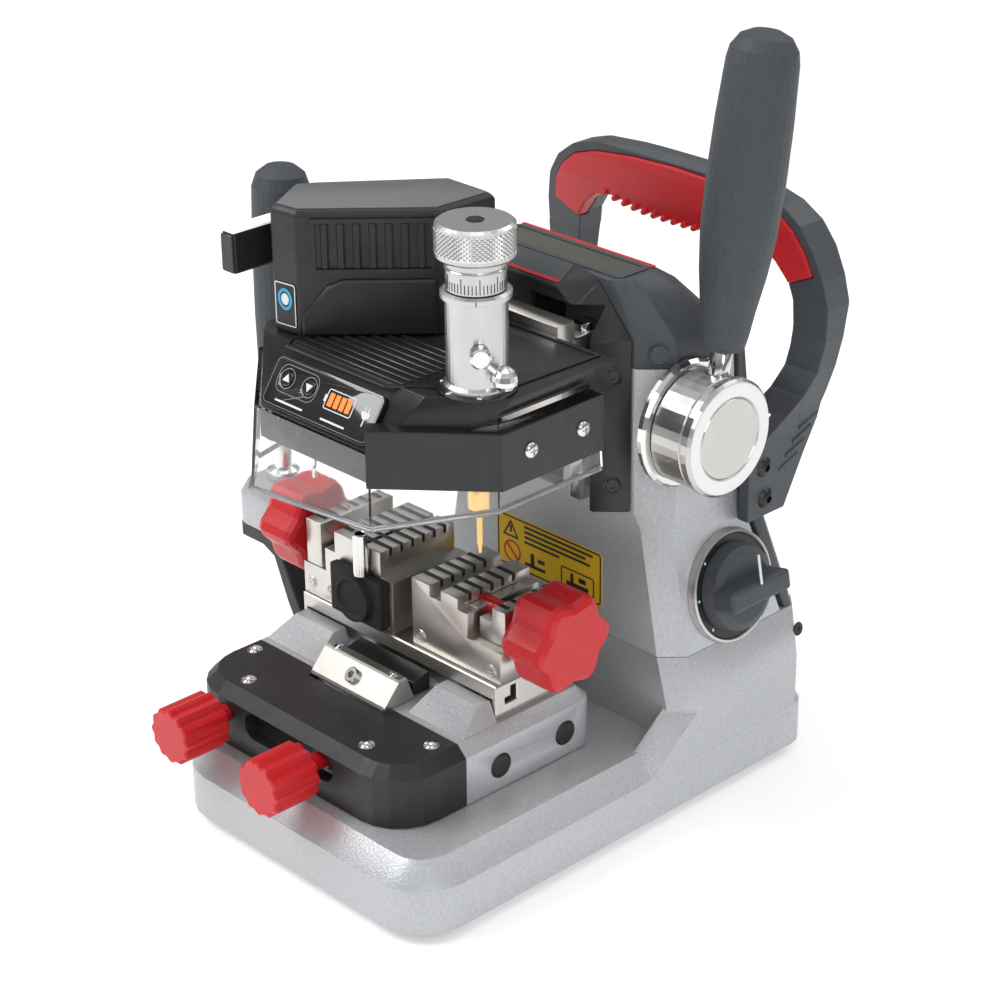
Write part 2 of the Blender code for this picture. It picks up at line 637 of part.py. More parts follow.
def build_clamps():
    base = block("clamp_base", (-94, -48.5, 77), (52, 6, CLAMP_FLOOR))
    groove = [(-42, 81.5), (-42, 84.5), (-38, 84.5), (-38, 90), (-34, 90), (-34, 81.5)]
    cut(base, plate("clamp_groove", groove, -95, 53, "X"),
        block("clamp_undercut", (-91, -60, 70), (49, -45, 85)))
    finish(bevel(base, 0.6, 1), "table", "brushed_steel")
    floor = CLAMP_FLOOR + GAP

    left = block("left_clamp_body", (-93.7, -47, floor), (-24, 4, 136))
    cut(left, block("left_jaw_room", (-100, -60, 110.7), (-76.2, 20, 150)),
        block("left_key_step", (-80, -60, 124), (-68.3, 20, 150)),
        block("left_channel", (-48.5, -60, 128), (-45.5, 20, 150)),
        block("left_end_step", (-33, -60, 122), (-20, 20, 150)),
        screw_bore("left_screw_bore", -100, -60))
    slots(left, -68.5, -30, 136, 4, -40.5, 7.4, 6)
    finish(left, "table", "brushed_steel")
    boot = bevel(block("clamp_boot", (-66, -53, 95), (-27, -47 - GAP, 122)), 1.2, 2)
    lens = turned("boot_lens", [(0, 2), (9, 2), (10.5, 3.2), (12.5, 3.2), (13.5, -1), (0, -1)],
                  (-46.5, -53, 108.5), (0, -1, 0), 32)
    finish(join(boot, lens), "table", "black_rubber", 30)

    jaw = block("left_jaw", (-91, -46.7, 111), (-79.5, 3.5, 136))
    cut(jaw, screw_bore("left_jaw_bore", -100, -70))
    slots(jaw, -95, -82.5, 136, 4, -40.5, 7.4, 6)
    finish(jaw, "left_jaw_slide", "bright_steel")

    right = block("right_clamp_body", (-11, -45.6, floor), (52.6, 4, 130))
    cut(right, block("right_jaw_room", (29, -60, 110.7), (60, 20, 150)),
        block("right_channel", (2, -60, 124), (10.5, 20, 150)),
        block("right_key_step", (22.5, -60, 124), (35, 20, 150)),
        screw_bore("right_screw_bore", 15, 60))
    slots(right, -12, 2.2, 130, 4, -38, 7.4, 5)
    slots(right, 10, 23, 130, 4, -38, 7.4, 5)
    finish(right, "table", "brushed_steel")
    jaw = block("right_jaw", (32.5, -40, 111), (50.3, 3.5, 130))
    cut(jaw, screw_bore("right_jaw_bore", 20, 60), block("right_lip", (30, -60, 122), (41.5, 20, 140)))
    slots(jaw, 41, 48, 130, 5, -36, 7.4, 5)
    finish(jaw, "right_jaw_slide", "bright_steel")

    body("left_screw", (-113, SCREW_Y, SCREW_Z))
    finish(clamp_knob("left_clamp_knob", -99, -126, -64), "left_screw", "red_plastic", 40)
    body("right_screw", (72, SCREW_Y, SCREW_Z))
    finish(clamp_knob("right_clamp_knob", 58, 86, 20), "right_screw", "red_plastic", 40)


def build_table_lever():
    top_edge = [(-102 - GAP, 58), (-117, 60), (-124, 72), (-136, 96), (-150, 104), (-168, 104)]
    bottom_edge = [(-168, 94), (-150, 94), (-141, 90), (-131, 66), (-122, 50), (-102 - GAP, 46)]
    arm = plate("lever_arm", top_edge + bottom_edge, -30, -2, "Y")
    finish(bevel(arm, 1.2, 2), "table", "black_paint")
    sections = []
    for height, inset in ((104 + GAP, 0), (122, 0), (129, 3)):
        outline = rounded_box((-168 + inset, -33 + inset), (-132 - inset, 1 - inset), (8, 8, 8, 8))
        sections.append(at_height(outline, height))
    finish(loft("lever_housing", sections), "table", "silver_paint", 30)
    foot = Vector((LEVER_X, -12, 129 + GAP))
    tilt = Vector((0, 0.04, 1)).normalized()
    rod = turned("table_lever_rod", [(0, 24), (5, 24), (5, 7), (9, 5), (9, 0.6), (0, 0)], foot, tilt, 24)
    finish(rod, "table", "bright_steel", 35)
    grip = turned("table_lever_grip", [(0, 151), (8, 149.5), (13, 145.5), (15.2, 139), (15.4, 110), (14.6, 70),
                                       (13, 35), (11.5, 10), (10, 0), (0, 0)],
                  foot + tilt * (24 + GAP), tilt, 28)
    finish(grip, "table", "slate_plastic", 50)


# ---------------------------------------------------------------- head
HEAD_PLAN = [(HEAD_HALF, 8), (-HEAD_HALF, 8), (-HEAD_HALF, -82), (-51, -103), (28, -103), (HEAD_HALF, -64)]


def head_outline(height, grow=0, lean=0):
    """The head's plan, grown outwards, with its front edge moved back along the corner faces."""
    (left_x, left_y), (right_x, right_y) = HEAD_PLAN[2], HEAD_PLAN[5]
    (front_left, front_y), (front_right, _) = HEAD_PLAN[3], HEAD_PLAN[4]
    left_run = (left_x - front_left) / (left_y - front_y)
    right_run = (right_x - front_right) / (right_y - front_y)
    points = []
    for index, (x, y) in enumerate(HEAD_PLAN):
        if index == 3:
            x, y = x + left_run * lean, y + lean
        if index == 4:
            x, y = x + right_run * lean, y + lean
        points.append((x + math.copysign(grow, x), y - (grow if y < 0 else 0), height))
    return points


def build_head():
    head = loft("head_housing", [head_outline(213), head_outline(229.5), head_outline(248.5, 0, 12.8),
                                 head_outline(DECK_TOP, -5.5, 12)])
    inside = loft("head_inside", [head_outline(200, -4), head_outline(226, -4), head_outline(247, -4, 14)])
    cut(head, inside,
        cylinder("spindle_bore", 7 + GAP, (CUTTER_X, TOOL_Y, 230), (0, 0, 1), 50, 24),
        cylinder("tracer_bore", 4 + GAP, (TRACER_X, TOOL_Y, 230), (0, 0, 1), 50, 20),
        cylinder("motor_bore", 3 + GAP, (MOTOR_X, MOTOR_Y, 230), (0, 0, 1), 50, 16))
    tracer_boss = cylinder("tracer_boss", 11, (TRACER_X, TOOL_Y, 215), (0, 0, 1), 38, 24)
    join(head, tracer_boss)
    cut(head, cylinder("tracer_bore_low", 4 + GAP, (TRACER_X, TOOL_Y, 200), (0, 0, 1), 80, 20))
    finish(bevel(head, 0.8, 1, 32), "head", "black_paint")


def build_visor():
    """A clear shield round the front of the head, open at the rear and lower under the panel."""
    tops_at = (237, 237, 246, 228.5, 228.5, 246)
    bottoms_at = (204, 204, 188, 185.6, 193, 204)
    upper = [Vector((x, y, z)) for (x, y, _), z in zip(head_outline(0, 0.8), tops_at)]
    lower = [Vector((x, y, z)) for (x, y, _), z in zip(head_outline(0, 3.4), bottoms_at)]
    shape = bmesh.new()
    order = [1, 2, 3, 4, 5, 0]
    tops = [shape.verts.new(upper[index] * MM) for index in order]
    bottoms = [shape.verts.new(lower[index] * MM) for index in order]
    for vertex in shape.verts:
        vertex.co.y = min(vertex.co.y, -1 * MM)
    for index in range(len(order) - 1):
        shape.faces.new((tops[index], tops[index + 1], bottoms[index + 1], bottoms[index]))
    visor = from_bmesh("visor", shape)
    wall = visor.modifiers.new("wall", "SOLIDIFY")
    wall.thickness = 2.4 * MM
    wall.offset = 1
    finish(visor, "head", "clear_plastic")


def panel_place(x, up, out):
    """A point on the sloped control panel: up the slope and out from its back face."""
    slope = Vector((0, math.sin(PANEL_TILT), math.cos(PANEL_TILT)))
    normal = Vector((0, -math.cos(PANEL_TILT), math.sin(PANEL_TILT)))
    return Vector((x, -103, 229.5)) + slope * up + normal * out


def build_panel():
    outline = rounded_box((-38.5, -12.8), (38.5, 12.8), (4, 4, 4, 4), 3)
    panel = plate("control_panel", outline, -1.2, 1.2, "Y")
    panel.location = panel_place(-11.5, 13.4, 1.2 + GAP + 0.2) * MM
    panel.rotation_euler = (-PANEL_TILT, 0, 0)
    inward = Vector((0, math.cos(PANEL_TILT), -math.sin(PANEL_TILT)))
    for x, name in ((-38, "up_button"), (-22, "down_button")):
        start = panel_place(x, 16, 4)
        cut(panel, cylinder("button_hole", 4.2, start, inward, 12, 24))
        front = panel_place(x, 16, 3.4)
        body(name + "_slide", front)
        finish(turned(name, [(0, 0), (3.2, 0), (3.8, -0.5), (3.8, -1.7), (0, -1.7)], front, -inward, 24),
               name + "_slide", "gloss_black", 40)
    finish(panel, "head", "gloss_black")


COVER_PLAN = [(-66, -80), (-50, -78), (-3, -29), (-2, 7), (-34, 7.5), (-76, -43), (-82, -53)]


def shrink(outline, distance):
    """Moves every edge of a plan outline inwards by the same distance."""
    moved = []
    count = len(outline)
    for index in range(count):
        before = Vector(outline[index - 1])
        here = Vector(outline[index])
        after = Vector(outline[(index + 1) % count])
        first = (here - before).normalized()
        second = (after - here).normalized()
        first_in = Vector((-first.y, first.x))
        second_in = Vector((-second.y, second.x))
        along = (first_in + second_in) / (1 + first_in.dot(second_in))
        moved.append(tuple(here + along * distance))
    return moved


def build_belt_cover():
    bottom = DECK_TOP + GAP
    cover = loft("belt_cover", [at_height(COVER_PLAN, bottom), at_height(COVER_PLAN, 318),
                                at_height(shrink(COVER_PLAN, 2), 320.5)])
    inside = loft("cover_inside", [at_height(shrink(COVER_PLAN, 2.2), 250),
                                   at_height(shrink(COVER_PLAN, 2.2), 316)])
    cut(cover, inside)
    finish(bevel(cover, 0.9, 2, 30), "head", "black_paint", 25)
    lamp = bevel(block("work_lamp", (-91.5, -90, 283), (-82 - GAP, -55, 304)), 1.5, 2)
    finish(lamp, "head", "black_paint")

    motor = turned("drive_motor", [(0, 38), (14, 38), (15.7, 36), (15.7, 2), (14, 0), (0, 0)],
                   (MOTOR_X, MOTOR_Y, 273))
    finish(motor, "head", "brushed_steel", 35)
    pulley_profile = [(0, 9), (9, 9), (9, 8), (7.5, 8), (7.5, 1), (9, 1), (9, 0), (0, 0)]
    motor_pulley = turned("motor_pulley", pulley_profile, (MOTOR_X, MOTOR_Y, 262), steps=24)
    finish(motor_pulley, "motor_shaft", "bright_steel", 35)
    spindle = turned("cutter_spindle", [(0, 271), (7.5, 271), (7.5, 270), (6, 270), (6, 263), (7.5, 263),
                                        (7.5, 259), (7, 259), (7, 206), (5.5, 200), (5.5, 192), (4, 189),
                                        (1.6 + GAP, 189), (1.6 + GAP, 204), (0, 204)],
                     (CUTTER_X, TOOL_Y, 0), steps=20)
    finish(spindle, "spindle", "brushed_steel", 35)
    cutter = turned("cutter_bit", [(0, 203.5), (1.6, 203.5), (1.6, 180), (0.9, 178), (0.9, 173), (0, 173)],
                    (CUTTER_X, TOOL_Y, 0), steps=16)
    finish(cutter, "spindle", "bright_steel", 40)
    build_belt()


def belt_loop(radius_spindle, radius_motor):
    """The line round both pulleys, as one closed outline."""
    spindle = Vector((CUTTER_X, TOOL_Y))
    motor = Vector((MOTOR_X, MOTOR_Y))
    span = motor - spindle
    heading = math.degrees(math.atan2(span.y, span.x))
    spread = math.degrees(math.acos((radius_spindle - radius_motor) / span.length))
    outline = arc(motor, radius_motor, heading - spread, heading + spread, 10)
    outline += arc(spindle, radius_spindle, heading + spread, heading + 360 - spread, 10)
    return outline


def build_belt():
    belt = plate("drive_belt", belt_loop(7.4, 8.9), 263.5, 269.5)
    cut(belt, plate("belt_inside", belt_loop(6.3, 7.8), 260, 275))
    finish(belt, "head", "black_rubber")


def build_micrometer():
    bottom = DECK_TOP + GAP
    barrel = turned("micrometer_barrel", [(5, 306), (15, 306), (16.6, 305), (16.6, 302.5), (14.5, 301.5),
                                          (14.5, 262), (16, 260.5), (16, bottom), (5, bottom), (5, 306)],
                    (TRACER_X, TOOL_Y, 0), steps=36)
    finish(barrel, "head", "brushed_steel", 35)
    body("micrometer", (TRACER_X, TOOL_Y, 306))
    knob = turned("micrometer_knob", [(0, 334), (4, 334), (4.2, 338), (17, 338), (18.5, 336.8), (18.5, 322.2),
                                      (17.3, 321), (14, 321), (14, 306.5), (0, 306.5)],
                  (TRACER_X, TOOL_Y, 0), steps=36)
    finish(knob, "micrometer", "bright_steel", 35)
    body("tracer", (TRACER_X, TOOL_Y, 200))
    tracer = turned("tracer_probe", [(0, 300), (4, 300), (4, 213), (5.5, 212), (5.5, 197), (3.5, 194),
                                     (1.5, 193), (1.5, 178), (0.9, 173), (0, 173)], (TRACER_X, TOOL_Y, 0),
                    steps=24)
    finish(tracer, "tracer", "brass", 35)
    outward = Vector((0.78, -0.626, 0))
    pivot = Vector((TRACER_X, TOOL_Y, 279)) + outward * (14.5 + GAP + 0.2)
    body("tracer_lock", pivot)
    lever = turned("tracer_lock_lever", [(0, 6), (4, 6), (5, 5), (5, 0), (0, 0)], pivot, outward, 24)
    sideways = Vector((0.626, 0.78, 0))
    reach = (sideways * 0.72 + Vector((0, 0, -0.7))).normalized()
    stalk_start = pivot + outward * 3
    join(lever, cylinder("lock_stalk", 1.8, stalk_start, reach, 16, 12),
         ball("lock_ball", 6.2, stalk_start + reach * 15.5))
    finish(lever, "tracer_lock", "bright_steel", 40)


build_base()
build_column()
build_covers()
build_handle()
build_switch()
build_lever()
build_carriage()
build_saddle()
build_table()
build_wedge()
build_clamps()
build_table_lever()
build_head()
build_visor()
build_panel()
build_belt_cover()
build_micrometer()
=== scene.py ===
"""The look of a bench-top key duplicating machine, on the frame of its CAD parts.

Lengths are in millimetres in the machine's own frame: X to the operator's right, Y away from the
operator, Z up, zero in the middle of the base and on the bench. place() turns them into the world.
"""
import math

import bmesh
import bpy
from mathutils import Matrix, Vector


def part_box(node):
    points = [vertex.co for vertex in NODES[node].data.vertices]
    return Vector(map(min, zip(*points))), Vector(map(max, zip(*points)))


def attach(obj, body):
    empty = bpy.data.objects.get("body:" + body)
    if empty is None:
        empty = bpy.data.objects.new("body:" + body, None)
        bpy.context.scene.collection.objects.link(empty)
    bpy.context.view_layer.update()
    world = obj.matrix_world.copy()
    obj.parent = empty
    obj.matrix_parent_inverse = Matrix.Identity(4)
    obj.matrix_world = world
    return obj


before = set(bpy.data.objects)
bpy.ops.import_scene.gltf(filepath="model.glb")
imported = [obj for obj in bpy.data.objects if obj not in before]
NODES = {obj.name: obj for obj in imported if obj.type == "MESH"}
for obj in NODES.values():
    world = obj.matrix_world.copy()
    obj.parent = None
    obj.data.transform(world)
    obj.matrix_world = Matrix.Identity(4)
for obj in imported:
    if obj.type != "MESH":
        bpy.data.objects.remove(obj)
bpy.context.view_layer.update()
MM = 0.001

base_low, base_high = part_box("base_casting")
ORIGIN = Vector(((base_low.x + base_high.x) / 2, (base_low.y + base_high.y) / 2, 0))

# Sizes shared with the CAD
COLUMN_FRONT = 40
HANDLE_SIDE = 84.5
SEAM_Z = 85.2
HEAD_HALF = 72
DECK_TOP = 257
TOOL_Y = -61
TRACER_X = 56
TABLE_TOP = 74
PANEL_TILT = math.radians(34)
PANEL_MIDDLE_X = -11.5
BUTTON_UP = 16
SWITCH_TILT = math.radians(10.56)
LEVER_LEAN = math.radians(7.2)
LEVER_SPLAY = math.radians(2)
LEFT_CLAMP_TOP, RIGHT_CLAMP_TOP = 136, 130
KEY_SLOT_PITCH = 7.4
COVER_MIDDLE_Z = 292
COVER_PLAN = [(-66, -80), (-50, -78), (-3, -29), (-2, 7), (-34, 7.5), (-76, -43), (-82, -53)]
X, Y, Z = Vector((1, 0, 0)), Vector((0, 1, 0)), Vector((0, 0, 1))
TOOL_FOOT = Vector((TRACER_X, TOOL_Y, 0))
SHARP_DEGREES = 32

# The photograph's camera: its place, then azimuth, elevation and roll in degrees
CAMERA_SPOT = (858.22, -810.93, 720.73)
CAMERA_TURN = (46.43, 25.37, -0.69)
CAMERA_LENS = 93.8


def place(point):
    """A point of the machine's frame, in the world."""
    return ORIGIN + Vector(point) * MM


# ---------------------------------------------------------------- materials
def procedural(name, colour, rough, metallic=0.0, mottle=0.06, spread=0.07, mottle_scale=45,
               grains=((900, 0.08),), cells=None, brushed=None, scuffs=0.0, **sockets):
    """A material whose colour, roughness and relief all come from noise in the object's own space.

    grains are (scale, depth) pairs of fine noise, cells is a (scale, depth) pair of paint blisters,
    brushed is a stretch per axis for the marks of a tool, and sockets are constants of the shader.
    """
    material = bpy.data.materials.new(name)
    material.use_nodes = True
    tree = material.node_tree
    shader = tree.nodes["Principled BSDF"]
    shader.inputs["Metallic"].default_value = metallic
    for socket, value in sockets.items():
        shader.inputs[socket.replace("_", " ")].default_value = value
    position = tree.nodes.new("ShaderNodeTexCoord").outputs["Object"]

    def noise(scale, detail=4.0, stretch=None):
        source = position
        if stretch:
            mapping = tree.nodes.new("ShaderNodeMapping")
            mapping.inputs["Scale"].default_value = stretch
            tree.links.new(source, mapping.inputs["Vector"])
            source = mapping.outputs["Vector"]
        texture = tree.nodes.new("ShaderNodeTexNoise")
        texture.inputs["Scale"].default_value = scale
        texture.inputs["Detail"].default_value = detail
        tree.links.new(source, texture.inputs["Vector"])
        return texture.outputs["Fac"]

    def ranged(source, low, high, start=0.3, end=0.7):
        spread_out = tree.nodes.new("ShaderNodeMapRange")
        for socket, value in (("From Min", start), ("From Max", end), ("To Min", low), ("To Max", high)):
            spread_out.inputs[socket].default_value = value
        tree.links.new(source, spread_out.inputs["Value"])
        return spread_out.outputs["Result"]

    clouds = noise(mottle_scale, 6.0)
    mix = tree.nodes.new("ShaderNodeMix")
    mix.data_type = "RGBA"
    mix.inputs["A"].default_value = (*(part * (1 - mottle) for part in colour), 1)
    mix.inputs["B"].default_value = (*(min(1.0, part * (1 + mottle)) for part in colour), 1)
    tree.links.new(ranged(clouds, 0, 1), mix.inputs["Factor"])
    tree.links.new(mix.outputs["Result"], shader.inputs["Base Color"])

    smears = noise(mottle_scale * 2.7, 5.0)
    roughness = ranged(smears, max(0.02, rough - spread), min(1.0, rough + spread))
    if scuffs:
        marks = ranged(noise(mottle_scale * 0.9, 9.0, (1.0, 2.2, 0.7)), 0, scuffs, 0.58, 0.72)
        total = tree.nodes.new("ShaderNodeMath")
        total.operation = "ADD"
        total.use_clamp = True
        tree.links.new(roughness, total.inputs[0])
        tree.links.new(marks, total.inputs[1])
        roughness = total.outputs["Value"]
    tree.links.new(roughness, shader.inputs["Roughness"])

    reliefs = [(noise(scale, 3.0), depth) for scale, depth in grains]
    if cells:
        blister = tree.nodes.new("ShaderNodeTexVoronoi")
        blister.feature = "SMOOTH_F1"
        blister.inputs["Scale"].default_value = cells[0]
        tree.links.new(position, blister.inputs["Vector"])
        reliefs.append((blister.outputs["Distance"], cells[1]))
    if brushed:
        reliefs.append((noise(1.0, 3.0, brushed), 0.03))
    normal = None
    for height, depth in reliefs:
        bump = tree.nodes.new("ShaderNodeBump")
        bump.inputs["Strength"].default_value = depth
        bump.inputs["Distance"].default_value = 0.0004
        tree.links.new(height, bump.inputs["Height"])
        if normal:
            tree.links.new(normal, bump.inputs["Normal"])
        normal = bump.outputs["Normal"]
    tree.links.new(normal, shader.inputs["Normal"])
    return material


SILVER = procedural("silver_hammertone_paint", (0.51, 0.525, 0.545), 0.38, 0.35, mottle=0.10, spread=0.06,
                    mottle_scale=700, grains=((2600, 0.20),), cells=(1000, 0.34), Coat_Weight=0.25,
                    Coat_Roughness=0.25)
BLACK_CAST = procedural("black_textured_paint", (0.017, 0.017, 0.018), 0.42, mottle=0.18,
                        grains=((1500, 0.20), (5200, 0.12)), scuffs=0.06)
BLACK_SMOOTH = procedural("black_satin_plastic", (0.014, 0.014, 0.015), 0.32, mottle=0.15,
                          grains=((2400, 0.08),), scuffs=0.06)
COVER_TOP = procedural("grey_satin_lid", (0.16, 0.163, 0.168), 0.34, mottle=0.06,
                       grains=((2400, 0.08),), scuffs=0.05)
GLOSS = procedural("gloss_black_panel", (0.006, 0.006, 0.007), 0.08, mottle=0.1, spread=0.03,
                   grains=((500, 0.01),), scuffs=0.05, Coat_Weight=0.6, Coat_Roughness=0.04)
SLATE = procedural("slate_grained_plastic", (0.062, 0.070, 0.080), 0.50, mottle=0.08, spread=0.05,
                   mottle_scale=300, grains=((1900, 0.22), (4200, 0.14)))
SLATE_RUBBER = procedural("slate_soft_grip", (0.054, 0.062, 0.072), 0.58, mottle=0.10, spread=0.05,
                          mottle_scale=300, grains=((1600, 0.28), (3800, 0.16)))
RED = procedural("red_moulded_plastic", (0.60, 0.010, 0.016), 0.34, mottle=0.05,
                 grains=((1700, 0.08),), Subsurface_Weight=0.05)
RED_GRIP = procedural("red_soft_grip", (0.62, 0.018, 0.024), 0.46, mottle=0.06,
                      grains=((1600, 0.20),))
RUBBER = procedural("black_rubber_feet", (0.010, 0.010, 0.010), 0.72, mottle=0.2,
                    grains=((1200, 0.25),))
CHROME = procedural("polished_steel", (0.74, 0.74, 0.73), 0.15, 1.0, mottle=0.02, spread=0.02,
                    grains=((1500, 0.02),))
SPUN = procedural("spun_steel", (0.58, 0.575, 0.56), 0.33, 1.0, mottle=0.02, spread=0.02,
                  grains=((2600, 0.02),), Anisotropic=0.6)
GROUND_X = procedural("ground_nickel_along_x", (0.64, 0.615, 0.58), 0.36, 1.0, mottle=0.02, spread=0.02,
                      grains=((2600, 0.02),), brushed=(60, 2200, 2200))
GROUND_Y = procedural("ground_nickel_along_y", (0.66, 0.635, 0.60), 0.34, 1.0, mottle=0.02, spread=0.02,
                      grains=((2600, 0.02),), brushed=(2200, 60, 2200))
DARK_STEEL = procedural("blackened_steel", (0.055, 0.055, 0.056), 0.38, 0.85, mottle=0.15,
                        grains=((1800, 0.08),), scuffs=0.05)
SATIN_ALLOY = procedural("satin_turned_alloy", (0.60, 0.60, 0.59), 0.33, 1.0, mottle=0.02, spread=0.03,
                         grains=((1500, 0.04),), brushed=(90, 90, 2600))
BRASS = procedural("titanium_gold_tip", (0.80, 0.56, 0.22), 0.26, 1.0, mottle=0.06,
                   grains=((1500, 0.05),))
BLUE_SLEEVE = procedural("blue_battery_sleeve", (0.03, 0.10, 0.34), 0.40, mottle=0.08,
                         grains=((1100, 0.06),))
YELLOW = procedural("yellow_label_film", (0.80, 0.50, 0.012), 0.38, mottle=0.04,
                    grains=((1300, 0.05),))
# Black ink for real print on the label, badge and scale, also used as painted shade in the key slots and
# the micrometer's key socket.
BLACK_PRINT_AND_SHADE = procedural("black_print_and_painted_shade", (0.012, 0.012, 0.012), 0.45, mottle=0.1, grains=((1300, 0.05),))
WHITE_INK = procedural("white_printed_ink", (0.80, 0.81, 0.82), 0.45, mottle=0.04,
                       grains=((1300, 0.05),))
GREY_INK = procedural("grey_printed_line", (0.26, 0.27, 0.28), 0.40, mottle=0.06,
                      grains=((1300, 0.05),))
ORANGE = procedural("orange_display_bar", (1.0, 0.22, 0.04), 0.35, mottle=0.05, grains=((1300, 0.04),),
                    Emission_Color=(1.0, 0.20, 0.03, 1), Emission_Strength=0.7)
CYAN_INK = procedural("cyan_printed_ink", (0.03, 0.36, 0.62), 0.34, mottle=0.05, grains=((1300, 0.04),))
LAMP_WHITE = procedural("white_lamp_diffuser", (0.85, 0.86, 0.87), 0.35, mottle=0.03,
                        grains=((900, 0.05),), Emission_Color=(1, 1, 1, 1), Emission_Strength=0.5)
OLIVE = procedural("dark_olive_window", (0.045, 0.050, 0.030), 0.14, mottle=0.25, spread=0.05,
                   grains=((700, 0.02),), Coat_Weight=0.4)
CLEAR = procedural("clear_polycarbonate", (0.97, 0.98, 0.985), 0.035, mottle=0.01, spread=0.02,
                   grains=((260, 0.012),), Transmission_Weight=1.0, IOR=1.45)
SMOKY = procedural("moulded_visor_rim", (0.62, 0.64, 0.66), 0.12, mottle=0.04, spread=0.03,
                   grains=((260, 0.012),), Transmission_Weight=0.75, IOR=1.45)

# Each node's material, the size of its rounded edges in mm and the steps round them
FINISHES = {
    "base_casting": (SILVER, 1.6, 3),
    "column_casting": (SILVER, 1.2, 3),
    "table_casting": (SILVER, 0.9, 2),
    "lever_housing": (SILVER, 0.8, 2),
    "foot_front_left": (RUBBER, 0.6, 2), "foot_front_right": (RUBBER, 0.6, 2),
    "foot_rear_left": (RUBBER, 0.6, 2), "foot_rear_right": (RUBBER, 0.6, 2),
    "battery_pack": (BLUE_SLEEVE, 0, 0),
    "slide_frame": (BLACK_CAST, 0.5, 2),
    "z_rail_left": (CHROME, 0.3, 1), "z_rail_right": (CHROME, 0.3, 1),
    "hub_bearing_ring": (CHROME, 0, 0),
    "top_cover": (SLATE, 1.0, 3), "rear_cover": (SLATE, 1.0, 3),
    "carry_handle": (SLATE, 0, 0), "handle_grip": (RED_GRIP, 0, 0),
    "y_rod_left": (CHROME, 0.3, 1), "y_rod_right": (CHROME, 0.3, 1),
    "switch_knob": (SLATE, 0, 0),
    "saddle_block": (GROUND_X, 0.5, 2),
    "y_lock_knob": (RED, 0, 0), "x_lock_knob": (RED, 0, 0),
    "front_fascia": (BLACK_CAST, 0, 0),
    "x_rod_front": (SATIN_ALLOY, 0.4, 1), "x_rod_rear": (SATIN_ALLOY, 0.4, 1),
    "wedge_block": (GROUND_X, 0, 0),
    "clamp_base": (GROUND_X, 0, 0),
    "left_clamp_body": (GROUND_Y, 0.35, 2), "right_clamp_body": (GROUND_Y, 0.35, 2),
    "clamp_boot": (RUBBER, 0, 0),
    "left_jaw": (GROUND_Y, 0.3, 2), "right_jaw": (GROUND_Y, 0.3, 2),
    "left_clamp_knob": (RED, 0, 0), "right_clamp_knob": (RED, 0, 0),
    "lever_arm": (BLACK_CAST, 0, 0),
    "table_lever_rod": (CHROME, 0.3, 2), "table_lever_grip": (SLATE_RUBBER, 0, 0),
    "lever_hub": (SPUN, 0, 0), "hub_cap": (SPUN, 0, 0),
    "lever_rod": (CHROME, 0.3, 1), "lever_grip": (SLATE_RUBBER, 0, 0),
    "lever_pinion": (GROUND_X, 0, 0),
    "head_housing": (BLACK_SMOOTH, 0.5, 2),
    "z_carriage": (GROUND_X, 0.4, 1),
    "visor": (CLEAR, 0, 0),
    "control_panel": (GLOSS, 0.5, 3),
    "belt_cover": (BLACK_CAST, 0, 0), "work_lamp": (BLACK_CAST, 0, 0),
    "drive_motor": (SATIN_ALLOY, 0, 0), "drive_belt": (RUBBER, 0, 0),
    "motor_pulley": (SATIN_ALLOY, 0.2, 1),
    "micrometer_barrel": (SATIN_ALLOY, 0, 0), "micrometer_knob": (SATIN_ALLOY, 0, 0),
    "up_button": (GLOSS, 0, 0), "down_button": (GLOSS, 0, 0),
    "cutter_spindle": (CHROME, 0, 0), "cutter_bit": (CHROME, 0, 0),
    "tracer_probe": (BRASS, 0, 0), "tracer_lock_lever": (CHROME, 0, 0),
}


def smooth(obj, degrees):
    """Shades a mesh smoothly across edges that turn less than the angle."""
    for polygon in obj.data.polygons:
        polygon.use_smooth = True
    obj.data.set_sharp_from_angle(angle=math.radians(degrees))


def soft_edges(obj, width, steps, degrees=30, harden=False):
    """Rounds the edges that turn more than the angle."""
    rounding = obj.modifiers.new("soft edges", "BEVEL")
    rounding.width = width * MM
    rounding.segments = steps
    rounding.limit_method = "ANGLE"
    rounding.angle_limit = math.radians(degrees)
    rounding.harden_normals = harden


for node_name, (node_finish, round_mm, round_steps) in FINISHES.items():
    node = NODES[node_name]
    node.data.materials.clear()
    node.data.materials.append(node_finish)
    if round_mm:
        weld = node.modifiers.new("weld", "WELD")
        weld.merge_threshold = 0.01 * MM
        soft_edges(node, round_mm, round_steps, 28, harden=True)
    smooth(node, SHARP_DEGREES)


# ---------------------------------------------------------------- shape tools
def facing(normal):
    """Directions across, up and out of a face that looks along normal."""
    normal = Vector(normal).normalized()
    across = Z.cross(normal)
    across = across.normalized() if across.length > 0.01 else X.copy()
    return across, normal.cross(across), normal


def on_face(outline, origin, normal, out=0.0):
    """A flat outline laid on a face, out from it."""
    across, up, normal = facing(normal)
    return [Vector(origin) + across * a + up * b + normal * out for a, b in outline]


def wall(shape, first, second):
    """Adds the faces between two rings of vertices."""
    for index in range(len(first)):
        following = (index + 1) % len(first)
        shape.faces.new((first[index], first[following], second[following], second[index]))


def skin(shape, rings):
    """Adds a closed skin through rings with the same number of points."""
    rows = [[shape.verts.new(point) for point in ring] for ring in rings]
    for first, second in zip(rows, rows[1:]):
        wall(shape, first, second)
    shape.faces.new(rows[0])
    shape.faces.new(rows[-1])


def circle(radius, steps=32, centre=(0, 0), turn=0.0):
    """A round outline."""
    return [(centre[0] + radius * math.cos(turn + math.tau * step / steps),
             centre[1] + radius * math.sin(turn + math.tau * step / steps)) for step in range(steps)]


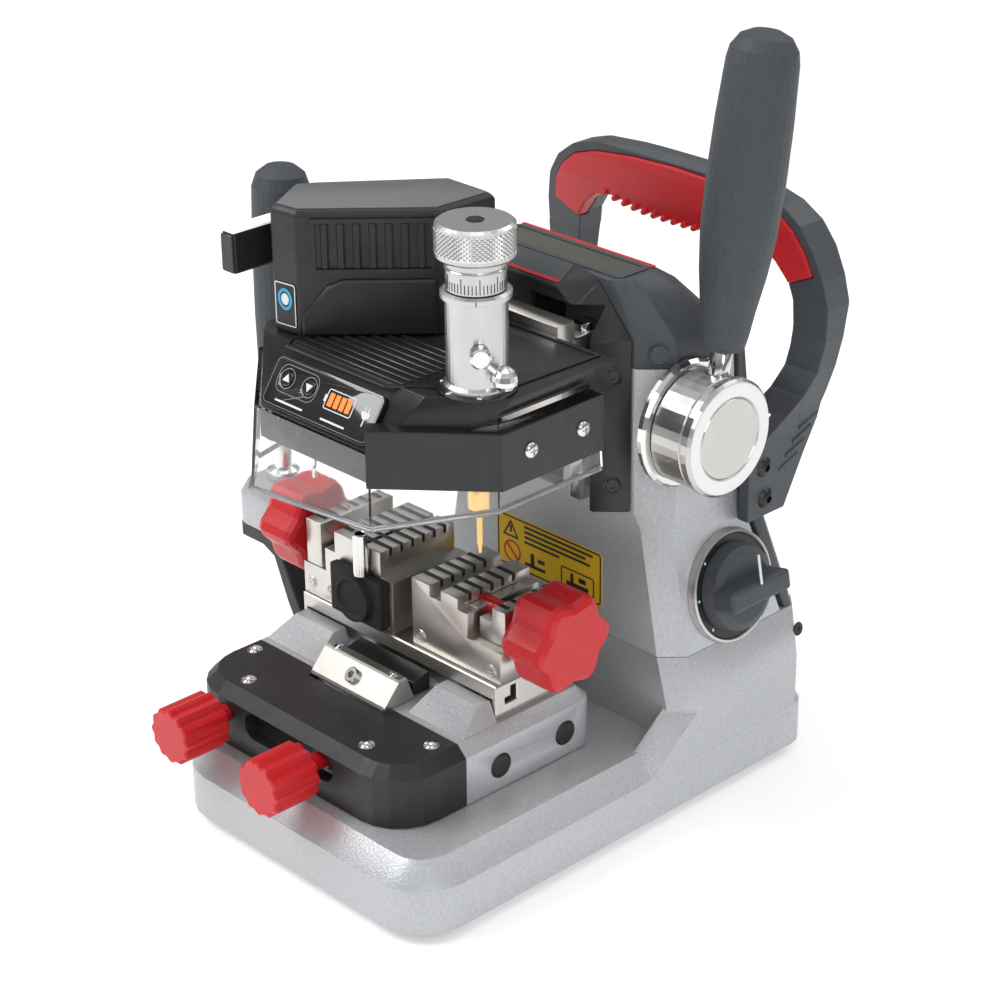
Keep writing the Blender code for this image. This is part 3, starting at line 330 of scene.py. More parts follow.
def rounded(half_a, half_b, radius, steps=5, centre=(0, 0)):
    """A rectangle's outline with round corners."""
    outline = []
    for quarter, (a, b) in enumerate(((1, 1), (-1, 1), (-1, -1), (1, -1))):
        for step in range(steps + 1):
            angle = math.pi / 2 * (quarter + step / steps)
            outline.append((centre[0] + a * (half_a - radius) + radius * math.cos(angle),
                            centre[1] + b * (half_b - radius) + radius * math.sin(angle)))
    return outline


def inset(outline, distance):
    """Moves every edge of an anticlockwise outline inwards."""
    moved = []
    for index, here in enumerate(outline):
        before = Vector(outline[index - 1])
        here = Vector(here)
        after = Vector(outline[(index + 1) % len(outline)])
        first, second = (here - before).normalized(), (after - here).normalized()
        first_in, second_in = Vector((-first.y, first.x)), Vector((-second.y, second.x))
        moved.append(tuple(here + (first_in + second_in) / (1 + first_in.dot(second_in)) * distance))
    return moved


def pad(shape, outline, origin, normal, low, high, edge=0.2):
    """Adds an outline raised from low to high over a face, its upper edge chamfered."""
    skin(shape, [on_face(outline, origin, normal, low), on_face(outline, origin, normal, high - edge),
                 on_face(inset(outline, edge), origin, normal, high)])


def band(shape, outline, width, origin, normal, low, high):
    """Adds a raised line of one width that follows an outline."""
    within = inset(outline, width)
    rings = [on_face(outline, origin, normal, low), on_face(outline, origin, normal, high),
             on_face(within, origin, normal, high), on_face(within, origin, normal, low)]
    rows = [[shape.verts.new(point) for point in ring] for ring in rings]
    for first, second in zip(rows, rows[1:] + rows[:1]):
        wall(shape, first, second)


def revolve(shape, profile, start, axis=Z, steps=48):
    """Adds a turned skin: (radius, height) from one end on the axis to the other, or a closed ring."""
    rows = []
    closed = profile[0] == profile[-1]
    for radius, height in profile[:-1] if closed else profile:
        if radius == 0:
            rows.append([shape.verts.new(on_face([(0, 0)], start, axis, height)[0])])
        else:
            rows.append([shape.verts.new(p) for p in on_face(circle(radius, steps), start, axis, height)])
    for first, second in zip(rows, rows[1:] + (rows[:1] if closed else [])):
        for step in range(steps):
            following = (step + 1) % steps
            corners = (first[step % len(first)], first[following % len(first)],
                       second[following % len(second)], second[step % len(second)])
            shape.faces.new(list(dict.fromkeys(corners)))


def box(shape, low, high, edge=0.2):
    """Adds a block with chamfered upright and upper edges."""
    (x0, y0, z0), (x1, y1, z1) = low, high
    centre = ((x0 + x1) / 2, (y0 + y1) / 2, z0)
    outline = rounded((x1 - x0) / 2, (y1 - y0) / 2, edge, 1)
    pad(shape, outline, centre, Z, 0, z1 - z0, edge)


def mesh_object(name, shape):
    """Turns a shape in the machine's millimetres into an object in the world."""
    bmesh.ops.recalc_face_normals(shape, faces=shape.faces)
    for vertex in shape.verts:
        vertex.co = place(vertex.co)
    mesh = bpy.data.meshes.new(name)
    shape.to_mesh(mesh)
    shape.free()
    obj = bpy.data.objects.new(name, mesh)
    bpy.context.scene.collection.objects.link(obj)
    return obj


def piece(name, shape, body, finish, carved=None, degrees=35):
    """A new visible piece on a body, with an optional second shape taken out of it."""
    obj = mesh_object(name, shape)
    if carved:
        tool = mesh_object(name + "_tool", carved)
        modifier = obj.modifiers.new("carve", "BOOLEAN")
        modifier.operation = "DIFFERENCE"
        modifier.solver = "EXACT"
        modifier.object = tool
        bpy.context.view_layer.update()
        seen = obj.evaluated_get(bpy.context.evaluated_depsgraph_get())
        uncut, cut = obj.data, bpy.data.meshes.new_from_object(seen)
        obj.modifiers.clear()
        obj.data = cut
        bpy.data.meshes.remove(uncut)
        bpy.data.objects.remove(tool)
    obj.data.materials.append(finish)
    smooth(obj, degrees)
    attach(obj, body)
    return obj


def hex_screw(name, centre, normal, body, finish=DARK_STEEL, radius=3.6, rise=0.5, key=1.7):
    """A flush screw head with a hexagon socket, in a ring that reads as its countersink."""
    head, socket = bmesh.new(), bmesh.new()
    revolve(head, [(0, rise), (radius - 0.5, rise), (radius, rise - 0.35), (radius, 0.1),
                   (radius + 0.9, 0.35), (radius + 1.2, 0), (0, 0)], centre, normal, 32)
    pad(socket, circle(key, 6), centre, normal, 0.08, rise + 1, 0.01)
    return piece(name, head, body, finish, socket)


def cross_screw(name, centre, normal, body, radius=4.1, rise=2.4):
    """A pan-head screw with a cross recess."""
    head, recess = bmesh.new(), bmesh.new()
    profile = [(0, rise), (radius * 0.45, rise * 0.97), (radius * 0.78, rise * 0.78),
               (radius * 0.95, rise * 0.5), (radius, rise * 0.2), (radius, 0), (0, 0)]
    revolve(head, profile, centre, normal, 32)
    arm, half = radius * 0.52, radius * 0.13
    cross = [(half, half), (half, arm), (-half, arm), (-half, half), (-arm, half), (-arm, -half),
             (-half, -half), (-half, -arm), (half, -arm), (half, -half), (arm, -half), (arm, half)]
    pad(recess, cross, centre, normal, rise * 0.45, rise + 1, 0.01)
    return piece(name, head, body, CHROME, recess)


# ---------------------------------------------------------------- base, column and covers
def column_details():
    """Screws of the slide frame, the covers and the carry handle, and the handle's slanted ribs."""
    for side, label in ((-1, "left"), (1, "right")):
        outward = (side, 0, 0)
        for height, level in ((233, "upper"), (175, "lower")):
            hex_screw(f"slide_frame_screw_{level}_{label}", (side * 51.5, 32.9, height),
                      (side * 0.7, -0.714, 0), "frame")
        hex_screw(f"cover_screw_{label}", (side * 69.6, 46.2, 245.5), (side * 0.66, -0.7, 0.14), "frame",
                  SLATE, 3.2)
        for y, z, level in ((111, 153, "lower"), (109, 171, "upper")):
            centre = (side * HANDLE_SIDE, y, z)
            head, socket = bmesh.new(), bmesh.new()
            revolve(head, [(0, 3), (3, 2.6), (5, 0.8), (5.5, 0), (0, 0)], centre, outward, 32)
            pad(socket, circle(2.1, 6), centre, outward, 1.2, 4, 0.01)
            piece(f"handle_screw_{level}_{label}", head, "frame", DARK_STEEL, socket)
        for index in range(4):
            strake = bmesh.new()
            centre = (side * (HANDLE_SIDE + 0.1 + 0.45 * index), 128 + 4.5 * index, 168 + 6.5 * index)
            section = [(-7, -3.5), (7, 1.7), (7, 3.5), (-7, -1.7)]
            if side < 0:
                section = [(-a, b) for a, b in reversed(section)]
            pad(strake, section, centre, outward, -2, 0.7, 0.5)
            piece(f"handle_strake_{index + 1}_{label}", strake, "frame", SLATE)
    hex_screw("base_side_screw", (91.6, 133, 72), (0.985, 0, 0.17), "frame", radius=2.6, key=1.2)


def top_cover_details():
    """A framed dark window and red stripes on the top cover, with no lettering."""
    lid_centre = (0, 54.5, 279)
    lid = bmesh.new()
    band(lid, rounded(46, 11.5, 4), 3.2, lid_centre, Z, -0.2, 0.7)
    piece("top_cover_frame", lid, "frame", SLATE)
    window = bmesh.new()
    pad(window, rounded(42.6, 8.2, 2.5), lid_centre, Z, -0.2, 0.35, 0.15)
    piece("top_cover_window", window, "frame", OLIVE)
    stripe = bmesh.new()
    pad(stripe, rounded(46, 1.3, 0.9, 3), (0, 67.6, 279), Z, -0.2, 0.5)
    piece("top_cover_stripe", stripe, "frame", RED)
    slope_out = Vector((0, -9, 13.7)).normalized()
    slope_middle = (0, 33, 277.6)
    plate = bmesh.new()
    pad(plate, rounded(20, 6.4, 2), slope_middle, slope_out, -0.2, 0.5)
    piece("arch_plate", plate, "frame", SLATE)
    line = bmesh.new()
    pad(line, rounded(19, 0.9, 0.6, 3, (0, -5.4)), slope_middle, slope_out, 0.4, 0.75, 0.1)
    piece("arch_plate_stripe", line, "frame", RED)


def warning_label():
    """A plain yellow label with a border and generic signs, and no words."""
    centre = (0, COLUMN_FRONT, 114.5)
    ink_low, ink_high = 0.15, 0.32

    def ink_block(shape, outline):
        pad(shape, outline, centre, -Y, ink_low, ink_high, 0.05)

    def ink_line(shape, outline, width):
        band(shape, outline, width, centre, -Y, ink_low, ink_high)

    film = bmesh.new()
    pad(film, rounded(38.5, 15.3, 2.5), centre, -Y, -0.1, 0.22, 0.05)
    piece("yellow_label", film, "frame", YELLOW)

    ink = bmesh.new()
    ink_line(ink, rounded(37.8, 14.6, 2.1), 0.9)
    ink_line(ink, [(-34, 2.5), (-22, 2.5), (-28, 12.6)], 1.1)
    ink_block(ink, rounded(0.8, 2.0, 0.3, 2, (-28, 7.2)))
    for row, right in enumerate((32, 27, 30, 8)):
        left = -18
        ink_block(ink, rounded((right - left) / 2, 0.7, 0.5, 2, ((left + right) / 2, 11.5 - row * 2.9)))
    ink_line(ink, rounded(12, 5.6, 1.5, 3, (21, -6.6)), 0.8)
    tool_marks = ((21, 8, -9.4, 1.2), (17, 1.1, -6, 2.8), (24.4, 2.6, -5.4, 1.4),
                  (-10, 7.5, -9.6, 1.0), (-12, 1.4, -5.6, 3.4), (-5.5, 2.6, -5.0, 1.2))
    for a, half_a, b, half_b in tool_marks:
        ink_block(ink, rounded(half_a, half_b, 0.5, 2, (a, b)))
    piece("yellow_label_print", ink, "frame", BLACK_PRINT_AND_SHADE)

    sign = bmesh.new()
    ink_line(sign, circle(6.4, 32, (-27, -5.6)), 1.2)
    ink_block(sign, [(-23.8, -9.8), (-22.7, -8.7), (-30.2, -1.4), (-31.3, -2.5)])
    piece("yellow_label_ring", sign, "frame", RED)


def switch_details():
    """The rotary switch's dial with three dots, and the pointer on its knob."""
    normal = Vector((math.cos(SWITCH_TILT), 0, math.sin(SWITCH_TILT)))
    foot = Vector((88 - (112 - SEAM_Z) * math.tan(SWITCH_TILT), 86, 112)) + normal * 0.3
    ring = bmesh.new()
    revolve(ring, [(27.4, 0), (27.4, 3.4), (28, 4), (29.2, 3.6), (30, 0), (27.4, 0)], foot, normal, 64)
    piece("switch_dial_ring", ring, "frame", SATIN_ALLOY)
    dial = bmesh.new()
    revolve(dial, [(6, 0), (6, 2.7), (6.4, 3), (27, 3), (27.3, 2.7), (27.3, 0), (6, 0)], foot, normal, 64)
    piece("switch_dial_plate", dial, "frame", BLACK_SMOOTH)
    marks = bmesh.new()
    across, up, _ = facing(normal)
    for degrees in (135, 180, 225):
        angle = math.radians(degrees)
        spot = foot + (across * math.cos(angle) + up * math.sin(angle)) * 25.3
        pad(marks, circle(0.75, 12), spot, normal, 2.9, 3.12, 0.04)
    piece("switch_dial_marks", marks, "frame", WHITE_INK)
    knob_front = 19.8
    pointer = bmesh.new()
    pad(pointer, rounded(0.8, 8, 0.7, 3, (0, 12)), foot + normal * 3.3, normal, knob_front,
        knob_front + 0.45, 0.1)
    piece("switch_pointer", pointer, "switch", WHITE_INK)


def grip_ribs():
    """Finger ribs under the carry handle's grip, which curves down towards its ends."""
    ribs = bmesh.new()
    for index in range(15):
        across = -49 + index * 7
        height = 275 + 3.6 * (abs(across) / 45) ** 3
        revolve(ribs, [(0, 0), (1.3, 0.3), (1.7, 1.1), (1.7, 11.9), (1.3, 12.7), (0, 13)],
                (across, 129.4, height), Y, 12)
    piece("handle_grip_ribs", ribs, "frame", RED_GRIP)


# ---------------------------------------------------------------- table and clamps
def table_details():
    """Screws and rod plugs of the X-Y table, and the wedge with its backing plate."""
    for index, (x, y) in enumerate(((-90, -85.4), (-67.2, -108), (23.5, -108), (46, -86))):
        hex_screw(f"fascia_screw_{index + 1}", (x, y, TABLE_TOP), Z, "table", CHROME, 2.9, 0.5, 1.4)
    for y, name in ((-53, "front"), (-8.5, "rear")):
        for side, end, outward in (("right", 60, X), ("left", -102, -X)):
            plug = bmesh.new()
            revolve(plug, [(0, 0.5), (5.4, 0.5), (5.9, 0.1), (6.5, 0.35), (6.9, -0.3), (0, -0.3)],
                    (end, y, 54.5), outward, 32)
            piece(f"rod_plug_{name}_{side}", plug, "table", DARK_STEEL)
    back = bmesh.new()
    section = [(-60.5, 74.3), (-60.5, 82), (-49.3, 84.3), (-49.3, 74.3)]
    skin(back, [[Vector((x, y, z)) for y, z in section] for x in (-47, 5)])
    backing = piece("wedge_back_plate", back, "table", DARK_STEEL)
    soft_edges(backing, 0.5, 2)
    slope = Vector((0, -11.5, 10.5)).normalized()
    centre = (-21, -77.2, 82.3)
    head, socket = bmesh.new(), bmesh.new()
    revolve(head, [(0, 2.6), (3.6, 2.6), (4.2, 2.1), (4.2, -0.6), (0, -0.6)], centre, slope, 32)
    pad(socket, circle(2.1, 6), centre, slope, 0.6, 4, 0.01)
    piece("wedge_screw", head, "table", CHROME, socket)
    for x, side in ((-41.6, "left"), (-0.2, "right")):
        hex_screw(f"wedge_side_screw_{side}", (x, -69, 88), Z, "table", CHROME, 1.5, 0.4, 0.7)


def painted_slot_shade(shape, x_from, x_to, y, length, top):
    """Adds a black block of painted shade that fills a key slot from y on, just proud of the clamp's top,
    standing in for the slot's shadowed depth.
    """
    box(shape, (x_from, y, top - 3), (x_to, y + length, top + 0.06), 0.05)


def clamp_details():
    """The stop post, black blocks of painted shade in the key slots, the clamps' screws and their key
    rests.
    """
    post = bmesh.new()
    revolve(post, [(2.6, 0), (2.6, 22.6), (3.0, 23), (3.7, 23), (4, 22.6), (4, 0), (2.6, 0)],
            (-43, -51.3, 122.3), Z, 32)
    piece("stop_post", post, "table", CHROME)
    # Flat black blocks paint the shade inside the key slots of the clamps and jaws.
    slot_shades, left_slot_shades, right_slot_shades = bmesh.new(), bmesh.new(), bmesh.new()
    for index in range(6):
        y = -40.9 + KEY_SLOT_PITCH * index
        painted_slot_shade(slot_shades, -67.9, -33.4, y, 3.1, LEFT_CLAMP_TOP)
        painted_slot_shade(left_slot_shades, -90.7, -82.7, y, 3.1, LEFT_CLAMP_TOP)
    for index in range(5):
        y = -38.4 + KEY_SLOT_PITCH * index
        painted_slot_shade(slot_shades, -10.8, 1.8, y, 3.1, RIGHT_CLAMP_TOP)
        painted_slot_shade(slot_shades, 10.7, 22.3, y, 3.1, RIGHT_CLAMP_TOP)
        painted_slot_shade(right_slot_shades, 41.7, 48, y + 2, 3.1, RIGHT_CLAMP_TOP)
    piece("key_slot_painted_shade", slot_shades, "table", BLACK_PRINT_AND_SHADE)
    piece("left_jaw_slot_painted_shade", left_slot_shades, "left_jaw_slide", BLACK_PRINT_AND_SHADE)
    piece("right_jaw_slot_painted_shade", right_slot_shades, "right_jaw_slide", BLACK_PRINT_AND_SHADE)
    left_front, right_front = -47, -45.6
    for x, front, z, name in ((-88, left_front, 100, "left_outer"), (-72, left_front, 100, "left_inner"),
                              (-5, right_front, 99, "right_inner"), (46, right_front, 99, "right_outer")):
        hex_screw(f"clamp_screw_{name}", (x, front, z), -Y, "table", GROUND_Y, 2.4, 0.4, 1.2)
    for label, low, high in (("left", -75.6, -68.9), ("right", 23.1, 28.4)):
        plate = bmesh.new()
        box(plate, (low, -38, 123.8), (high, -4, 124.5), 0.2)
        piece(f"{label}_key_rest", plate, "table", GROUND_X)


# ---------------------------------------------------------------- lever
def lever_details():
    """A turned rim on the feed lever's hub cap, and the collar at the foot of its grip."""
    hub = Vector((98.8, 59, 208.5))
    rim = bmesh.new()
    revolve(rim, [(21.4, 5.2), (28.2, 5.2), (28.2, 6.12), (27.8, 6.2), (21.8, 6.2), (21.4, 6.12),
                  (21.4, 5.2)], hub, X, 72)
    piece("hub_cap_rim", rim, "z_lever", CHROME)
    direction = Vector((math.sin(LEVER_SPLAY), math.sin(LEVER_LEAN), 1)).normalized()
    foot = Vector((91, 64.2, 231)) + direction * 20.8
    collar = bmesh.new()
    revolve(collar, [(5.8, 0.2), (10.2, 0.2), (10.6, -0.4), (10.2, -1.2), (5.8, -1.2), (5.8, 0.2)], foot,
            direction, 32)
    piece("lever_grip_collar", collar, "z_lever", SLATE)


# ---------------------------------------------------------------- head
def panel_point(x, up, out):
    """A point on the sloped control panel: up the slope and out from its back."""
    slope = Vector((0, math.sin(PANEL_TILT), math.cos(PANEL_TILT)))
    normal = Vector((0, -math.cos(PANEL_TILT), math.sin(PANEL_TILT)))
    return Vector((x, -103, 229.5)) + slope * up + normal * out


def panel_details():
    """The panel's printed lines and signs, its battery bars and the arrows on the two buttons."""
    outward = Vector((0, -math.cos(PANEL_TILT), math.sin(PANEL_TILT)))
    face = panel_point(PANEL_MIDDLE_X, 13.4, 2.9)
    low, high = -0.1, 0.12

    lines = bmesh.new()
    band(lines, rounded(14.2, 7.0, 5, 6, (-18.8, 2.4)), 0.35, face, outward, low, high)
    band(lines, rounded(37.2, 11.5, 3, 4), 0.3, face, outward, low, 0.1)
    piece("panel_lines", lines, "head", GREY_INK)

    signs = bmesh.new()
    battery_case = rounded(9.6, 5.0, 1.2, 3, (12.2, 1.4))
    battery_pole = rounded(0.7, 1.8, 0.3, 2, (2.0, 1.4))
    plug_pins = [rounded(0.35, 1.3, 0.2, 2, (a, 3.6)) for a in (29.4, 31.8)]
    plug_body = [(27.8, 2.4), (27.8, 0.6), (29.6, -1.2), (31.6, -1.2), (33.4, 0.6), (33.4, 2.4)]
    plug_lead = rounded(0.4, 1.8, 0.2, 2, (30.6, -2.8))
    underlines = [rounded(10, 0.5, 0.4, 2, (-19, -8.6)), rounded(8.5, 0.5, 0.4, 2, (12.5, -8.6))]
    band(signs, battery_case, 0.5, face, outward, low, high)
    for outline in (battery_pole, *plug_pins, plug_body, plug_lead, *underlines):
        pad(signs, outline, face, outward, low, high, 0.04)
    piece("panel_signs", signs, "head", WHITE_INK)

    bars = bmesh.new()
    for index in range(4):
        pad(bars, rounded(1.5, 3.3, 0.4, 2, (6.0 + index * 4.1, 1.4)), face, outward, low, 0.14, 0.04)
    piece("panel_battery_bars", bars, "head", ORANGE)

    buttons = ((-38, "up", 1), (-22, "down", -1))
    rings = bmesh.new()
    for x, _, _ in buttons:
        band(rings, circle(5.2, 32), 0.4, panel_point(x, BUTTON_UP, 2.9), outward, low, high)
    piece("button_rings", rings, "head", GREY_INK)
    for x, name, way in buttons:
        arrow = bmesh.new()
        outline = [(way * a, way * b) for a, b in ((-2.5, -1.5), (2.5, -1.5), (0, 2.4))]
        pad(arrow, outline, panel_point(x, BUTTON_UP, 3.4), outward, low, 0.14, 0.03)
        piece(f"{name}_button_sign", arrow, f"{name}_button_slide", WHITE_INK)


def shroud(shape, path):
    """A band with chamfered edges that follows a line of (x, y, side x, side y) round the head."""
    section = [(-4, 213.1), (5.6, 213.1), (6.2, 213.7), (6.2, 241.4), (5.6, 242), (-4, 242)]
    skin(shape, [[Vector((x + a * out_x, y + a * out_y, z)) for a, z in section]
                 for x, y, out_x, out_y in path])


def deck_details():
    """Ribs and a rim on the head's deck, and the screwed bands that hold the visor."""
    ribs = bmesh.new()
    for index in range(9):
        y = -84 + index * 5
        left = -46 + max(0, y + 74) * 0.96
        box(ribs, (left, y, DECK_TOP - 0.2), (30, y + 1.8, DECK_TOP + 1.2), 0.4)
    piece("deck_ribs", ribs, "head", BLACK_SMOOTH)
    rim = bmesh.new()
    outline = [(66.5, -56), (24, -89), (-45, -89), (-50, -82), (-44, -66), (0, -20), (0, 4), (68, 4)]
    band(rim, outline, 1.6, (0, 0, DECK_TOP), Z, -0.3, 0.8)
    piece("deck_rim", rim, "head", BLACK_CAST)
    right_band, left_band = bmesh.new(), bmesh.new()
    shroud(right_band, [(26.9, -104, 0.6635, -0.748), (HEAD_HALF, -64, 1, -0.45), (HEAD_HALF, -1, 1, 0)])
    shroud(left_band, [(-HEAD_HALF, -1, -1, 0), (-HEAD_HALF, -80, -1, 0)])
    piece("visor_band_right", right_band, "head", BLACK_SMOOTH)
    piece("visor_band_left", left_band, "head", BLACK_SMOOTH)
    for y, name in ((-49, "front"), (-15, "rear")):
        cross_screw(f"band_screw_{name}", (HEAD_HALF + 6.1, y, 229), X, "head")
        cross_screw(f"band_screw_{name}_left", (-HEAD_HALF - 6.1, y, 229), -X, "head")


def visor_rim():
    """A clear bead along the visor's lower edge."""
    line = [Vector(point) for point in ((76.9, -2.2, 204), (76.9, -68.6, 204), (32.7, -107.9, 193),
                                        (-55.7, -107.9, 185.6), (-76.9, -86.6, 188), (-76.9, -2.2, 204))]
    steps = [(after - before).normalized() for before, after in zip(line, line[1:])]
    rings = []
    for point, before, after in zip(line, steps[:1] + steps, steps + steps[-1:]):
        along = (before + after).normalized()
        across = along.cross(Z).normalized()
        up = across.cross(along)
        rings.append([point + across * a + up * b for a, b in circle(1.6, 12)])
    bead = bmesh.new()
    skin(bead, rings)
    piece("visor_rim", bead, "head", SMOKY)


def cover_details():
    """The belt cover's lid, and the vent and bulge on its slanted side."""
    lid = bmesh.new()
    skin(lid, [[Vector((a, b, z)) for a, b in inset(COVER_PLAN, amount)]
               for amount, z in ((2.9, 320.3), (2.9, 320.9), (3.5, 321.3))])
    piece("cover_lid", lid, "head", COVER_TOP)

    start, end = (Vector((x, y, 0)) for x, y in COVER_PLAN[1:3])
    along = (end - start).normalized()
    outward = Vector((along.y, -along.x, 0))
    middle = (start + end) / 2 + Z * COVER_MIDDLE_Z
    half = (end - start).length / 2
    vent = bmesh.new()
    band(vent, [(-half + 7, -2.5), (half - 2, -2.5), (half - 2, 24.5), (-half + 7, 24.5)], 2.0, middle,
         outward, -0.4, 1.4)
    piece("cover_vent_frame", vent, "head", BLACK_CAST)
    fins = bmesh.new()
    for index in range(7):
        offset = -half + 13.5 + index * (2 * half - 22) / 6
        pad(fins, rounded(1.9, 11.6, 1.2, 3, (offset, 11)), middle, outward, -0.4, 1.5, 0.7)
    piece("cover_vent_fins", fins, "head", BLACK_CAST)
    bulge = bmesh.new()
    pad(bulge, [(-half + 1.5, -34), (half - 2, -34), (half - 2, -6), (-half + 22, -6), (-half + 14, -9),
                (-half + 1.5, -24)], middle, outward, -0.3, 2.2, 1.1)
    piece("cover_bulge", bulge, "head", BLACK_CAST)


def badge_details():
    """A plain badge with a ring and a dot on the belt cover's front."""
    first, second = (Vector((x, y, 0)) for x, y in COVER_PLAN[:2])
    edge = (second - first).normalized()
    front = Vector((edge.y, -edge.x, 0))
    spot = (first + second) / 2 + Z * 272
    card = bmesh.new()
    pad(card, rounded(6.8, 11, 1.2), spot, front, -0.2, 0.5)
    piece("badge_card", card, "head", BLACK_PRINT_AND_SHADE)
    border = bmesh.new()
    band(border, rounded(6.6, 10.8, 1.1), 0.5, spot, front, 0.4, 0.62)
    pad(border, [(a, b * 1.2) for a, b in circle(2.5, 24, (0, 2.2))], spot, front, 0.6, 0.9)
    piece("badge_border", border, "head", WHITE_INK)
    oval = bmesh.new()
    band(oval, [(a, b * 1.2) for a, b in circle(4.6, 32, (0, 2.2))], 1.5, spot, front, 0.4, 0.8)
    piece("badge_oval", oval, "head", CYAN_INK)


def lamp_details():
    """The lamp's white diffuser and its end plate."""
    diffuser = bmesh.new()
    box(diffuser, (-91.3, -89.6, 303.8), (-82.6, -55.4, 305.2), 0.4)
    piece("lamp_diffuser", diffuser, "head", LAMP_WHITE)
    end_plate = bmesh.new()
    pad(end_plate, rounded(4.4, 9.6, 1.4), (-86.8, -90, 293.4), -Y, -0.1, 0.9, 0.4)
    piece("lamp_end_plate", end_plate, "head", BLACK_SMOOTH)


def knurled_ring():
    """The micrometer knob's diamond knurl."""
    rows, count, valley, peak = 12, 96, 18.3, 18.85
    low, high = 323.4, 336.0
    knurl = bmesh.new()
    grid = []
    for row in range(rows + 1):
        height = low + row * (high - low) / rows
        ring = []
        for step in range(count):
            raised = (row + step) % 2 and row not in (0, rows)
            angle = math.tau * step / count
            radius = peak if raised else valley
            ring.append(knurl.verts.new(TOOL_FOOT + Vector((radius * math.cos(angle),
                                                            radius * math.sin(angle), height))))
        grid.append(ring)
    for row in range(rows):
        for step in range(count):
            following = (step + 1) % count
            a, b = grid[row][step], grid[row][following]
            c, d = grid[row + 1][following], grid[row + 1][step]
            if (row + step) % 2:
                knurl.faces.new((a, b, c))
                knurl.faces.new((a, c, d))
            else:
                knurl.faces.new((a, b, d))
                knurl.faces.new((b, c, d))
    knurl.faces.new(grid[0])
    knurl.faces.new(list(reversed(grid[-1])))
    piece("micrometer_knurl", knurl, "micrometer", CHROME, degrees=8)


def micrometer_details():
    """The micrometer's key socket as a flat black hexagon of painted shade, its scale, collar, index line
    and screwed flange.
    """
    knurled_ring()
    socket = bmesh.new()
    # A flat black hexagon on the knob's top paints the shaded hollow of the key socket.
    pad(socket, circle(4.4, 6), TOOL_FOOT + Z * 337.9, Z, 0, 0.45, 0.05)
    piece("micrometer_socket_painted_shade", socket, "micrometer", BLACK_PRINT_AND_SHADE)
    ticks, divisions = bmesh.new(), 50
    for index in range(divisions):
        angle = math.tau * index / divisions
        outward = Vector((math.cos(angle), math.sin(angle), 0))
        length = 3.6 if index % 5 == 0 else 2.2
        pad(ticks, rounded(0.22, length, 0.12, 2, (0, length)), TOOL_FOOT + outward * 14 + Z * 307.2,
            outward, -0.15, 0.12, 0.04)
    piece("micrometer_scale", ticks, "micrometer", BLACK_PRINT_AND_SHADE)
    collar = bmesh.new()
    revolve(collar, [(13.6, 316.4), (14.5, 316.4), (14.8, 316.8), (14.5, 317.2), (13.6, 317.2),
                     (13.6, 316.4)], TOOL_FOOT, Z)
    piece("micrometer_collar", collar, "micrometer", CHROME)
    zero = bmesh.new()
    front = Vector((0.724, -0.69, 0)).normalized()
    pad(zero, rounded(0.25, 1.1, 0.12, 2), TOOL_FOOT + front * 16.6 + Z * 303.8, front, -0.3, 0.12, 0.04)
    piece("micrometer_index", zero, "head", BLACK_PRINT_AND_SHADE)
    flange = bmesh.new()
    revolve(flange, [(14.6, 257.2), (18.4, 257.2), (18.8, 257.5), (18.8, 258.2), (18.3, 258.6),
                     (14.6, 258.6), (14.6, 257.2)], TOOL_FOOT, Z, 64)
    piece("micrometer_flange", flange, "head", BLACK_SMOOTH)
    for degrees in (-150, -95, -40, 40, 130):
        outward = Vector((math.cos(math.radians(degrees)), math.sin(math.radians(degrees)), 0))
        cross_screw(f"flange_screw_{degrees % 360}", TOOL_FOOT + outward * 16.8 + Z * 258.5, Z, "head",
                    1.5, 0.9)


column_details()
top_cover_details()
warning_label()
switch_details()
grip_ribs()
table_details()
clamp_details()
lever_details()
panel_details()
deck_details()
visor_rim()
cover_details()
badge_details()
lamp_details()
micrometer_details()


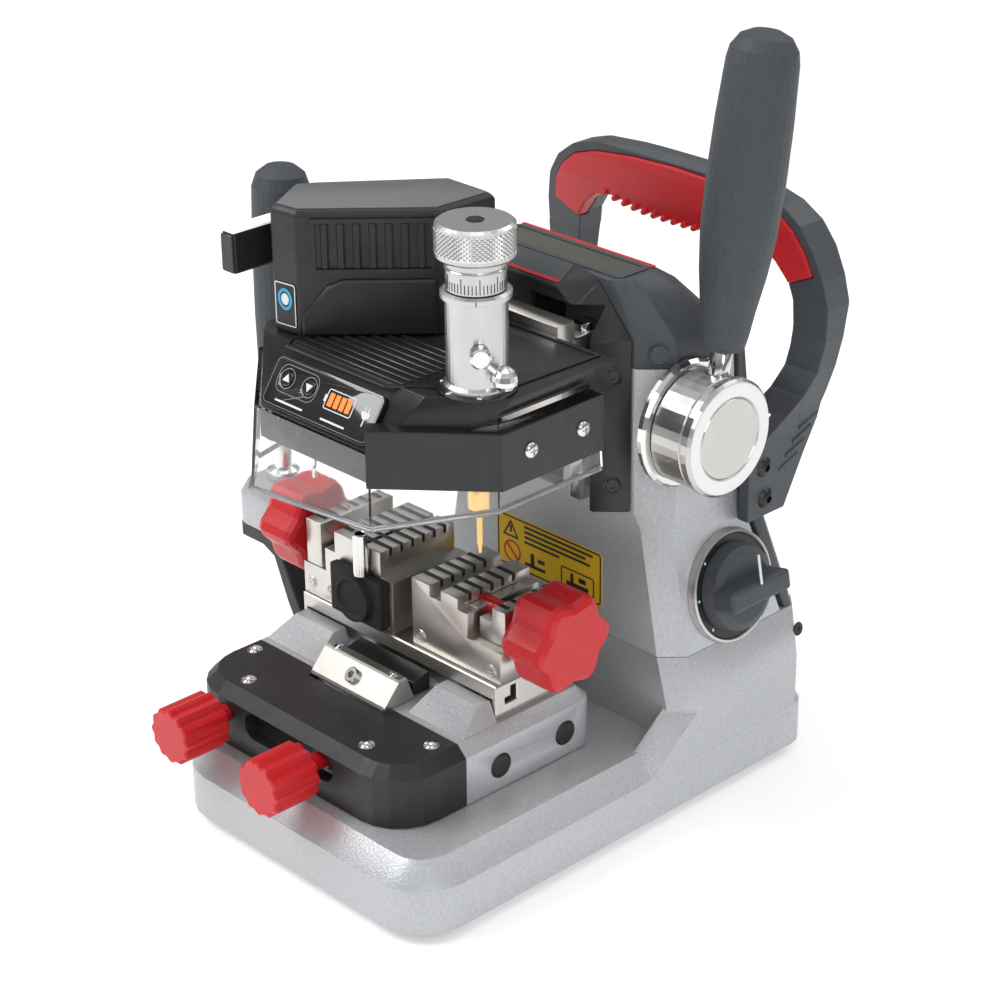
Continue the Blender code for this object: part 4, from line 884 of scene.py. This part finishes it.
# ---------------------------------------------------------------- studio
def studio():
    """A pale floor, a sky that is brighter overhead and four soft lamps, all in metres."""
    floor = bpy.data.meshes.new("studio_floor")
    reach = 6.0
    floor.from_pydata([(-reach, -reach, 0), (reach, -reach, 0), (reach, reach, 0), (-reach, reach, 0)], [],
                      [(0, 1, 2, 3)])
    ground = bpy.data.objects.new("studio_floor", floor)
    bpy.context.scene.collection.objects.link(ground)
    ground.data.materials.append(procedural("pale_floor", (0.93, 0.93, 0.93), 0.6, mottle=0.01,
                                            grains=((300, 0.02),), Emission_Color=(1, 1, 1, 1),
                                            Emission_Strength=0.30))

    world = bpy.data.worlds.new("soft_studio")
    bpy.context.scene.world = world
    world.use_nodes = True
    sky = world.node_tree
    direction = sky.nodes.new("ShaderNodeTexCoord")
    split = sky.nodes.new("ShaderNodeSeparateXYZ")
    sky.links.new(direction.outputs["Generated"], split.inputs["Vector"])
    height = sky.nodes.new("ShaderNodeMapRange")
    for socket, value in (("From Min", 0.0), ("From Max", 0.65), ("To Min", 0.14), ("To Max", 0.90)):
        height.inputs[socket].default_value = value
    sky.links.new(split.outputs["Z"], height.inputs["Value"])
    sky.links.new(height.outputs["Result"], sky.nodes["Background"].inputs["Color"])
    sky.nodes["Background"].inputs["Strength"].default_value = 0.70

    for name, spot, size, power in (("key", (-0.9, -1.1, 1.6), 1.1, 18), ("fill", (1.5, -0.7, 0.9), 0.8, 5),
                                    ("rim", (0.5, 1.4, 1.5), 1.0, 6), ("top", (0.0, 0.0, 2.0), 1.2, 5)):
        light = bpy.data.lights.new(name, "AREA")
        light.shape = "RECTANGLE"
        light.size = size
        light.size_y = size * 0.7
        light.energy = power
        lamp = bpy.data.objects.new(name, light)
        lamp.location = spot
        lamp.rotation_euler = (Vector((0, 0, 0.15)) - Vector(spot)).to_track_quat("-Z", "Y").to_euler()
        bpy.context.scene.collection.objects.link(lamp)


def camera():
    """The camera of the photograph."""
    azimuth, elevation, roll = (math.radians(angle) for angle in CAMERA_TURN)
    back = Vector((math.sin(azimuth) * math.cos(elevation), -math.cos(azimuth) * math.cos(elevation),
                   math.sin(elevation)))
    right = (-back).cross(Z).normalized()
    up = right.cross(-back)
    turned_right = right * math.cos(roll) + up * math.sin(roll)
    turned_up = up * math.cos(roll) - right * math.sin(roll)
    lens = bpy.data.cameras.new("photo_camera")
    lens.sensor_width = 36
    lens.lens = CAMERA_LENS
    lens.clip_start = 0.05
    lens.clip_end = 50
    view = bpy.data.objects.new("photo_camera", lens)
    bpy.context.scene.collection.objects.link(view)
    turn = Matrix((turned_right, turned_up, back)).transposed().to_4x4()
    view.matrix_world = Matrix.Translation(place(CAMERA_SPOT)) @ turn
    bpy.context.scene.camera = view


studio()
camera()
bpy.context.scene.view_settings.view_transform = "Standard"

bpy.context.view_layer.update()
